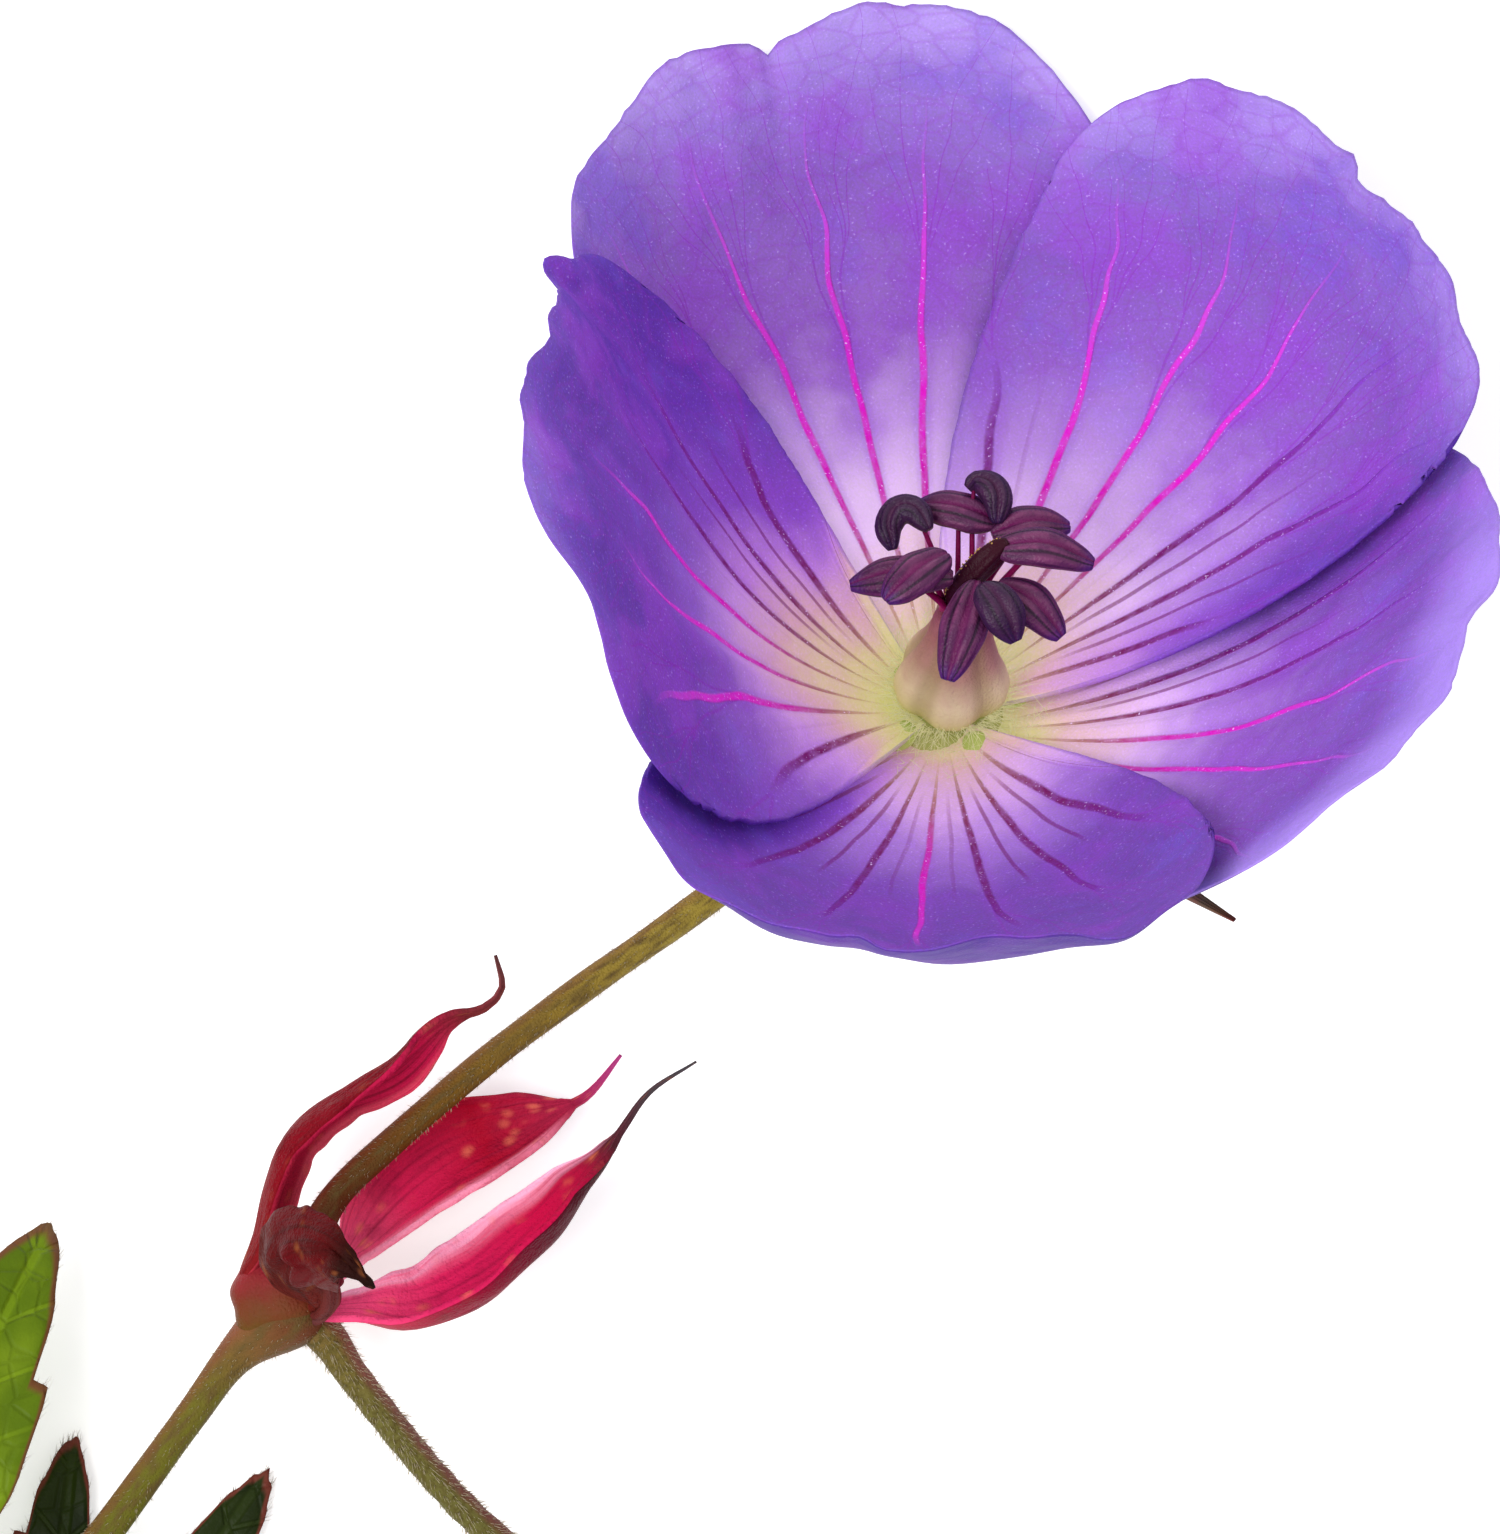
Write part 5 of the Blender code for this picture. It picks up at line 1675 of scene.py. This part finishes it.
# %% Bract finish
def bract_finish(name, along_colours, edge, edge_side, spot, spot_share, through=0.0):
    """Crimson blade: colours along it, one paler edge, blotches and fine streaks."""
    material, tree, where = new_finish(name, 0.45, 0.03)
    vector, across, along = two_numbers(tree, "blade")
    skin = use_group(tree, living_skin, {"Vector": where, "Cell Size": 0.14, "Cloud Size": 2.2})
    base = colour_row(tree, along, along_colours)
    streaks = noise(tree, stretched(tree, vector, 16.0, 2.2), 1.0, 3.0)
    darker = scaled(along_colours[1][1], 0.55)
    base = tint(tree, base, fade(tree, streaks, 0.45, 0.75), 0.6, darker)
    base = tint(tree, base, fade(tree, skin["Clouds"], 0.52, 0.7), 0.35, darker)
    towards = fade(tree, across, *edge_side)
    uneven = times(tree, towards, fade(tree, streaks, 0.2, 0.6))
    base = tint(tree, base, uneven, fade(tree, along, 0.8, 0.62), edge)
    blotch = add_node(tree, "ShaderNodeTexVoronoi", {
        "Vector": stretched(tree, vector, 4.5, 13.0, 0.4), "Scale": 1.0}).outputs["Distance"]
    blotch = times(tree, fade(tree, blotch, 0.4, 0.0),
                   fade(tree, skin["Clouds"], 0.42, 0.56))
    base = tint(tree, base, blotch, spot_share, spot)
    shine_through(material, base, through)
    height = plus(tree, streaks, skin["Cells"])
    height = times_plus(tree, skin["Clouds"], 5.0, height)
    return dress(material, base, height, 0.1)


print("finishes before the bracts:", len(bpy.data.materials))

# %% [markdown]
# Each bract has its own mix of colours: the left one dull crimson, the middle one crimson
# with orange spots and a pale edge, the right one bright pink inside and nearly black on its
# keel, the front one dark red-brown and dry at the tip.

# %% Bract colours
# Each bract's hollow side, then its back
BRACT_LOOKS = {
    "bract_left": (
        dict(along_colours=((0.0, (170, 50, 60)), (0.2, (150, 26, 50)), (0.7, (196, 24, 74)),
                            (0.82, (130, 44, 50)), (1.0, (104, 62, 60))),
             edge=(226, 90, 110), edge_side=(0.86, 1.0), spot=(190, 110, 70), spot_share=0.3,
             through=0.15),
        dict(along_colours=((0.0, (122, 24, 26)), (0.25, (126, 8, 24)), (0.7, (118, 14, 28)),
                            (0.82, (110, 34, 32)), (1.0, (100, 50, 48))),
             edge=(180, 30, 44), edge_side=(0.8, 1.0), spot=(176, 100, 60), spot_share=0.4)),
    "bract_middle": (
        dict(along_colours=((0.0, (230, 80, 120)), (0.22, (214, 34, 84)), (0.5, (160, 12, 40)),
                            (0.8, (160, 34, 66)), (1.0, (190, 70, 140))),
             edge=(248, 150, 178), edge_side=(0.8, 1.0), spot=(226, 120, 90), spot_share=0.5,
             through=0.25),
        dict(along_colours=((0.0, (190, 60, 80)), (0.25, (150, 20, 50)), (0.7, (140, 24, 56)),
                            (0.82, (140, 40, 80)), (1.0, (170, 60, 120))),
             edge=(220, 100, 130), edge_side=(0.8, 1.0), spot=(190, 110, 70), spot_share=0.3)),
    "bract_right": (
        dict(along_colours=((0.0, (224, 70, 116)), (0.2, (208, 34, 90)), (0.5, (186, 14, 64)),
                            (0.64, (156, 14, 52)), (0.73, (70, 30, 36)), (1.0, (58, 68, 70))),
             edge=(250, 176, 206), edge_side=(0.2, 0.0), spot=(216, 120, 76), spot_share=0.5,
             through=0.3),
        dict(along_colours=((0.0, (200, 70, 90)), (0.25, (150, 20, 52)), (0.5, (92, 12, 34)),
                            (0.72, (50, 24, 28)), (0.82, (48, 42, 42)), (1.0, (62, 76, 78))),
             edge=(150, 110, 80), edge_side=(0.2, 0.0), spot=(120, 70, 60), spot_share=0.3)),
    "bract_front": (
        dict(along_colours=((0.0, (120, 50, 50)), (0.3, (110, 20, 34)), (0.7, (96, 26, 30)),
                            (0.85, (60, 34, 26)), (1.0, (40, 26, 20))),
             edge=(90, 50, 40), edge_side=(0.9, 1.0), spot=(130, 80, 50), spot_share=0.3),
        dict(along_colours=((0.0, (104, 32, 26)), (0.25, (84, 28, 26)), (0.45, (94, 10, 18)),
                            (0.72, (92, 8, 14)), (0.84, (46, 16, 12)), (1.0, (24, 14, 10))),
             edge=(104, 56, 56), edge_side=(0.5, 0.1), spot=(150, 84, 46), spot_share=0.6)),
    "stipule_upper": (
        dict(along_colours=((0.0, (120, 70, 50)), (0.4, (130, 60, 56)), (0.8, (120, 50, 46)),
                            (1.0, (90, 50, 40))),
             edge=(190, 120, 100), edge_side=(0.8, 1.0), spot=(150, 110, 60), spot_share=0.3),
        dict(along_colours=((0.0, (110, 80, 50)), (0.4, (124, 66, 56)), (0.8, (116, 50, 46)),
                            (1.0, (90, 50, 40))),
             edge=(170, 100, 80), edge_side=(0.8, 1.0), spot=(150, 110, 60), spot_share=0.3)),
}
for bract_name, shape in BRACTS.items():
    inner, outer = BRACT_LOOKS[bract_name]
    finishes = [bract_finish(bract_name + "_inner", **inner),
                bract_finish(bract_name + "_outer", **outer)]
    piece(bract_name + "_blade", bract_blade(bract_name, **shape), bract_name, finishes,
          thickness=0.3, floor=TABLE_GAP)
print("bracts:", len(BRACTS))

# %% [markdown]
# ## Leaves
# A leaf is palmate: five pointed lobes spread from the end of its stalk. The grid's first
# number walks round the margin, from lobe to lobe, and the second goes from the eye out to
# it. Its maps keep two distances for the finish: how far a point is from the rib of its
# lobe, and how near it is to the margin, so midribs, side veins, netting and the thin red
# margin all follow the leaf.

# %% Leaf shapes
# From a lobe's tip to the notch beside it: share of the way round, and share of the length
LOBE_HALF = ((0.0, 1.0), (0.1, 0.96), (0.22, 0.88), (0.37, 0.74), (0.49, 0.73), (0.78, 0.55),
             (1.0, 0.34))
# Each lobe: its direction in degrees and its length
LEAVES = {
    "leaf_left": dict(
        eye=(-48.3, -42.6, 4.6), petiole=(-45.6, -43.4, 3.0), arch=3.6, droop=7.7, fold=1.6,
        lobes=((25, 22.6), (-22, 26.0), (-66, 28.5), (-108, 26.0), (-148, 18.0))),
    "leaf_right": dict(
        eye=(-39.6, -47.6, 0.8), petiole=(-41.4, -46.2, 1.3), arch=0.1, droop=0.5, fold=0.8,
        lobes=((6, 16.2), (35, 17.8), (76, 20.0), (116, 18.5), (155, 14.0))),
}


def leaf_margin(lobes):
    """Directions and lengths round a leaf's margin."""
    turn = math.copysign(44.0, lobes[1][0] - lobes[0][0])
    around = [(lobes[0][0] - turn, 0)] + list(lobes) + [(lobes[-1][0] + turn, 0)]
    columns = []
    for before, lobe, after in zip(around, around[1:], around[2:]):
        for neighbour, half in ((before, LOBE_HALF[::-1]), (after, LOBE_HALF[1:])):
            for share, reach in half:
                columns.append((lobe[0] + (neighbour[0] - lobe[0]) / 2 * share, lobe[1] * reach))
        columns.pop()
    columns.append((lobes[-1][0] + turn / 2, lobes[-1][1] * LOBE_HALF[-1][1]))
    return np.array(columns)


def leaf_places(name, across, v):
    """Places on a leaf, the distance from the nearest rib in millimetres, and the reach."""
    leaf = LEAVES[name]
    lobes = np.array(leaf["lobes"], float)
    longest = lobes[:, 1].max()
    columns = leaf_margin(leaf["lobes"])
    at = across * (len(columns) - 1)
    facing = np.interp(at, np.arange(len(columns)), columns[:, 0])
    length = np.interp(at, np.arange(len(columns)), columns[:, 1])
    length = length + 0.14 * waves(at, 91, 6, 5.0) - 0.1
    reach = 0.2 + (length - 0.2) * v
    off = np.abs(facing[:, None] - lobes[None, :, 0]).min(axis=1)
    share = np.maximum(reach, 1.5) / longest
    eye = leaf["eye"]
    height = eye[2] + leaf["arch"] * np.sin(np.pi * share) - leaf["droop"] * share ** 2
    height = height + leaf["fold"] * off / 22 * share * np.sin(np.pi * share ** 2)
    height = height + 0.12 * waves(reach + off * 0.2, 95, 5, 1.2) * v
    turn = np.radians(facing)
    places = np.column_stack([eye[0] + reach * np.sin(turn), eye[1] + reach * np.cos(turn),
                              height])
    return places, np.radians(off) * reach, reach


print("leaves:", list(LEAVES))

# %% [markdown]
# The blade's rib map is kept in centimetres, so that its numbers stay small. The leaf's
# short stalk is one more tube, and the hairs on the margin are strewn spikes that point
# away from the leaf.

# %% Leaf blades, stalks and hairs
def leaf_blade(name):
    """The leaf's sheet with its rib and margin maps."""
    bm, across, v = sheet(260, 40)
    places, off, reach = leaf_places(name, across, v ** 0.85)
    move(bm, places)
    write_map(bm, "rib", off / 10, reach / 10)
    write_map(bm, "margin", across, v)
    thin_out(bm, 0.3 + 0.7 * np.minimum(1.0, (1 - v) / 0.08))
    return bm


def leaf_stalk(name):
    """The short stalk from the node to the leaf's eye."""
    leaf = LEAVES[name]
    middle = math.radians(leaf["lobes"][2][0])
    eye = np.array(leaf["eye"])
    inner = eye + np.array((2.2 * math.sin(middle), 2.2 * math.cos(middle), 0.0))
    line = smooth_line([leaf["petiole"], eye, inner], 0.4)
    size = np.interp(shares_along(line), (0.0, 0.6, 1.0), (0.7, 0.6, 0.35))
    return tube(np.column_stack([line, size]), 20, 24, lambda angle, along, s: (s, s))


def margin_hairs(name, count):
    """Short hairs along the leaf's margin."""
    across = chance.uniform(0.01, 0.99, count)
    places = leaf_places(name, across, np.ones(count))[0]
    inside = leaf_places(name, across, np.full(count, 0.9))[0]
    aims = unit(places - inside) + chance.normal(0, 0.35, (count, 3))
    places[:, 2] = np.maximum(places[:, 2], 0.25)
    return strewn(spike(3, 2), places, aims, chance.uniform(0.25, 0.55, count),
                  np.full(count, 0.02), np.zeros((count, 3)))


print("points round a leaf's margin:", len(leaf_margin(LEAVES["leaf_left"]["lobes"])))

# %% [markdown]
# Ribs, side veins and netting are masks on the rib map and on a cell pattern. The side veins
# are evenly spaced lines that run out from the rib at a slant.

# %% Leaf finish
def leaf_finish(name, green, lit, red_share):
    """Green blade with ribs, side veins, netting and a red margin."""
    material, tree, where = new_finish(name, 0.45)
    _, off, reach = two_numbers(tree, "rib")
    _, _, out = two_numbers(tree, "margin")
    skin = use_group(tree, living_skin, {"Vector": where, "Cell Size": 0.2, "Cloud Size": 6.0})
    base = blend(tree, fade(tree, skin["Clouds"], 0.35, 0.65), ink(*green), ink(*lit))
    base = tint(tree, base, fade(tree, skin["Clouds"], 0.66, 0.74), 0.7, (170, 176, 60))
    side = minus(tree, reach, times(tree, off, 1.1))
    side = beside(tree, maths(tree, "FRACT", times(tree, side, 3.1)), 0.5)
    side = times(tree, fade(tree, side, 0.08, 0.02), fade(tree, off, 0.5, 0.1))
    veins = maths(tree, "MAXIMUM", fade(tree, off, 0.035, 0.012), side)
    net = add_node(tree, "ShaderNodeTexVoronoi", {"Vector": where, "Scale": 700.0},
                   feature="DISTANCE_TO_EDGE").outputs[0]
    net = fade(tree, net, 0.1, 0.0)
    base = tint(tree, base, veins, 0.35, scaled(lit, 1.2))
    base = tint(tree, base, net, 0.16, scaled(green, 0.7))
    base = tint(tree, base, fade(tree, out, 0.955, 0.985), red_share, (112, 52, 42))
    height = times_plus(tree, net, -0.5, times(tree, skin["Cells"], 0.3))
    return dress(material, base, minus(tree, height, veins), 0.08)


LEAF_LOOKS = {
    "leaf_left": dict(green=(80, 104, 6), lit=(108, 132, 18), red_share=0.8),
    "leaf_right": dict(green=(20, 30, 4), lit=(36, 48, 8), red_share=0.9),
}
for leaf_name, look in LEAF_LOOKS.items():
    finish = leaf_finish(leaf_name + "_green", **look)
    piece(leaf_name + "_blade", leaf_blade(leaf_name), leaf_name, [finish],
          thickness=0.35, floor=TABLE_GAP + 0.05)
    piece(leaf_name + "_stalk", leaf_stalk(leaf_name), leaf_name, [side_stem_green])
    edge = piece(leaf_name + "_hairs", margin_hairs(leaf_name, 420), leaf_name,
                 [hair_white])
    print(edge.name)

# %% [markdown]
# ## The bud
# The side stalk ends in a closed bud, wrapped in five hairy sepals whose tips meet in a short
# point. It is one tube with five ribs, and the fan of veins from the petals is used again
# for the fine lines between the ribs.

# %% Bud
BUD_NECK = np.array((-13.2, -39.9, 2.8))
BUD_AIM = unit(np.array((0.36, -0.92, -0.06)))
BUD_LENGTH = 8.6
BUD_NECK_RADIUS = 0.78
BUD_AWN = 1.6


def bud_line():
    """Points along the bud with its radius: a belly near the neck, then a thin point."""
    share = np.linspace(0.0, 1.0, 40)
    size = 0.75 + 1.85 * np.sin(np.pi * share ** 0.75) ** 0.8
    size = size * (1 - 0.55 * share ** 4)
    size[0] = BUD_NECK_RADIUS
    awn = np.array((0.2, 0.5, 1.0))
    shares = np.concatenate([share * BUD_LENGTH, BUD_LENGTH + awn * BUD_AWN])
    radii = np.concatenate([size, (0.3, 0.2, 0.06)])
    return np.column_stack([BUD_NECK + np.multiply.outer(shares, BUD_AIM), radii])


def bud_body():
    """The ribbed bud."""
    def section(angle, along, size):
        ribs = 1 + 0.09 * np.sin(np.pi * np.clip(along * 1.15, 0, 1)) * np.cos(5 * angle)
        return size * ribs, size * ribs

    return tube(bud_line(), 70, 80, section)


print("bud length with its point:", BUD_LENGTH + BUD_AWN)

# %% [markdown]
# The finish is green-brown with redder ribs, and hairs all over lean to the tip.

# %% Bud finish and hairs
def bud_finish():
    """Green-brown with reddish ribs and fine lines."""
    material, tree, where = new_finish("bud_green_brown", 0.55)
    vector, turn, along = two_numbers(tree, "skin")
    skin = use_group(tree, living_skin, {"Vector": where, "Cell Size": 0.16, "Cloud Size": 2.0})
    veins = use_group(tree, fan_veins, {
        "Vector": stretched(tree, vector, 20.0, 1.0), "Half Width": 0.3, "Fork At": 0.3,
        "Seed": 8.0})
    base = colour_row(tree, along, (
        (0.0, (118, 108, 62)), (0.4, (124, 112, 66)), (0.75, (120, 84, 64)),
        (0.9, (120, 60, 56)), (1.0, (90, 44, 40))))
    rib = maths(tree, "COSINE", times(tree, turn, 10 * math.pi))
    base = tint(tree, base, fade(tree, rib, 0.3, 1.0), 0.5, (130, 66, 58))
    base = tint(tree, base, veins["Main"], 0.35, (76, 70, 34))
    return dress(material, base, plus(tree, veins["Main"], skin["Cells"]), 0.08)


def bud_hairs(count):
    """Hairs all over the bud, leaning to its tip."""
    middles, radii, out, _ = spots_round(
        bud_line(), chance.uniform(0.03, 0.86, count), chance.uniform(0, 2 * np.pi, count))
    aims = out + BUD_AIM * 0.6 + chance.normal(0, 0.2, (count, 3))
    return strewn(spike(3, 2), middles + out * radii * 0.96, aims,
                  chance.uniform(0.4, 1.0, count), np.full(count, 0.025),
                  np.zeros((count, 3)))


piece("bud_body", bud_body(), "bud", [bud_finish()])
bud_fuzz = piece("bud_hairs", bud_hairs(1500), "bud", [hair_white])
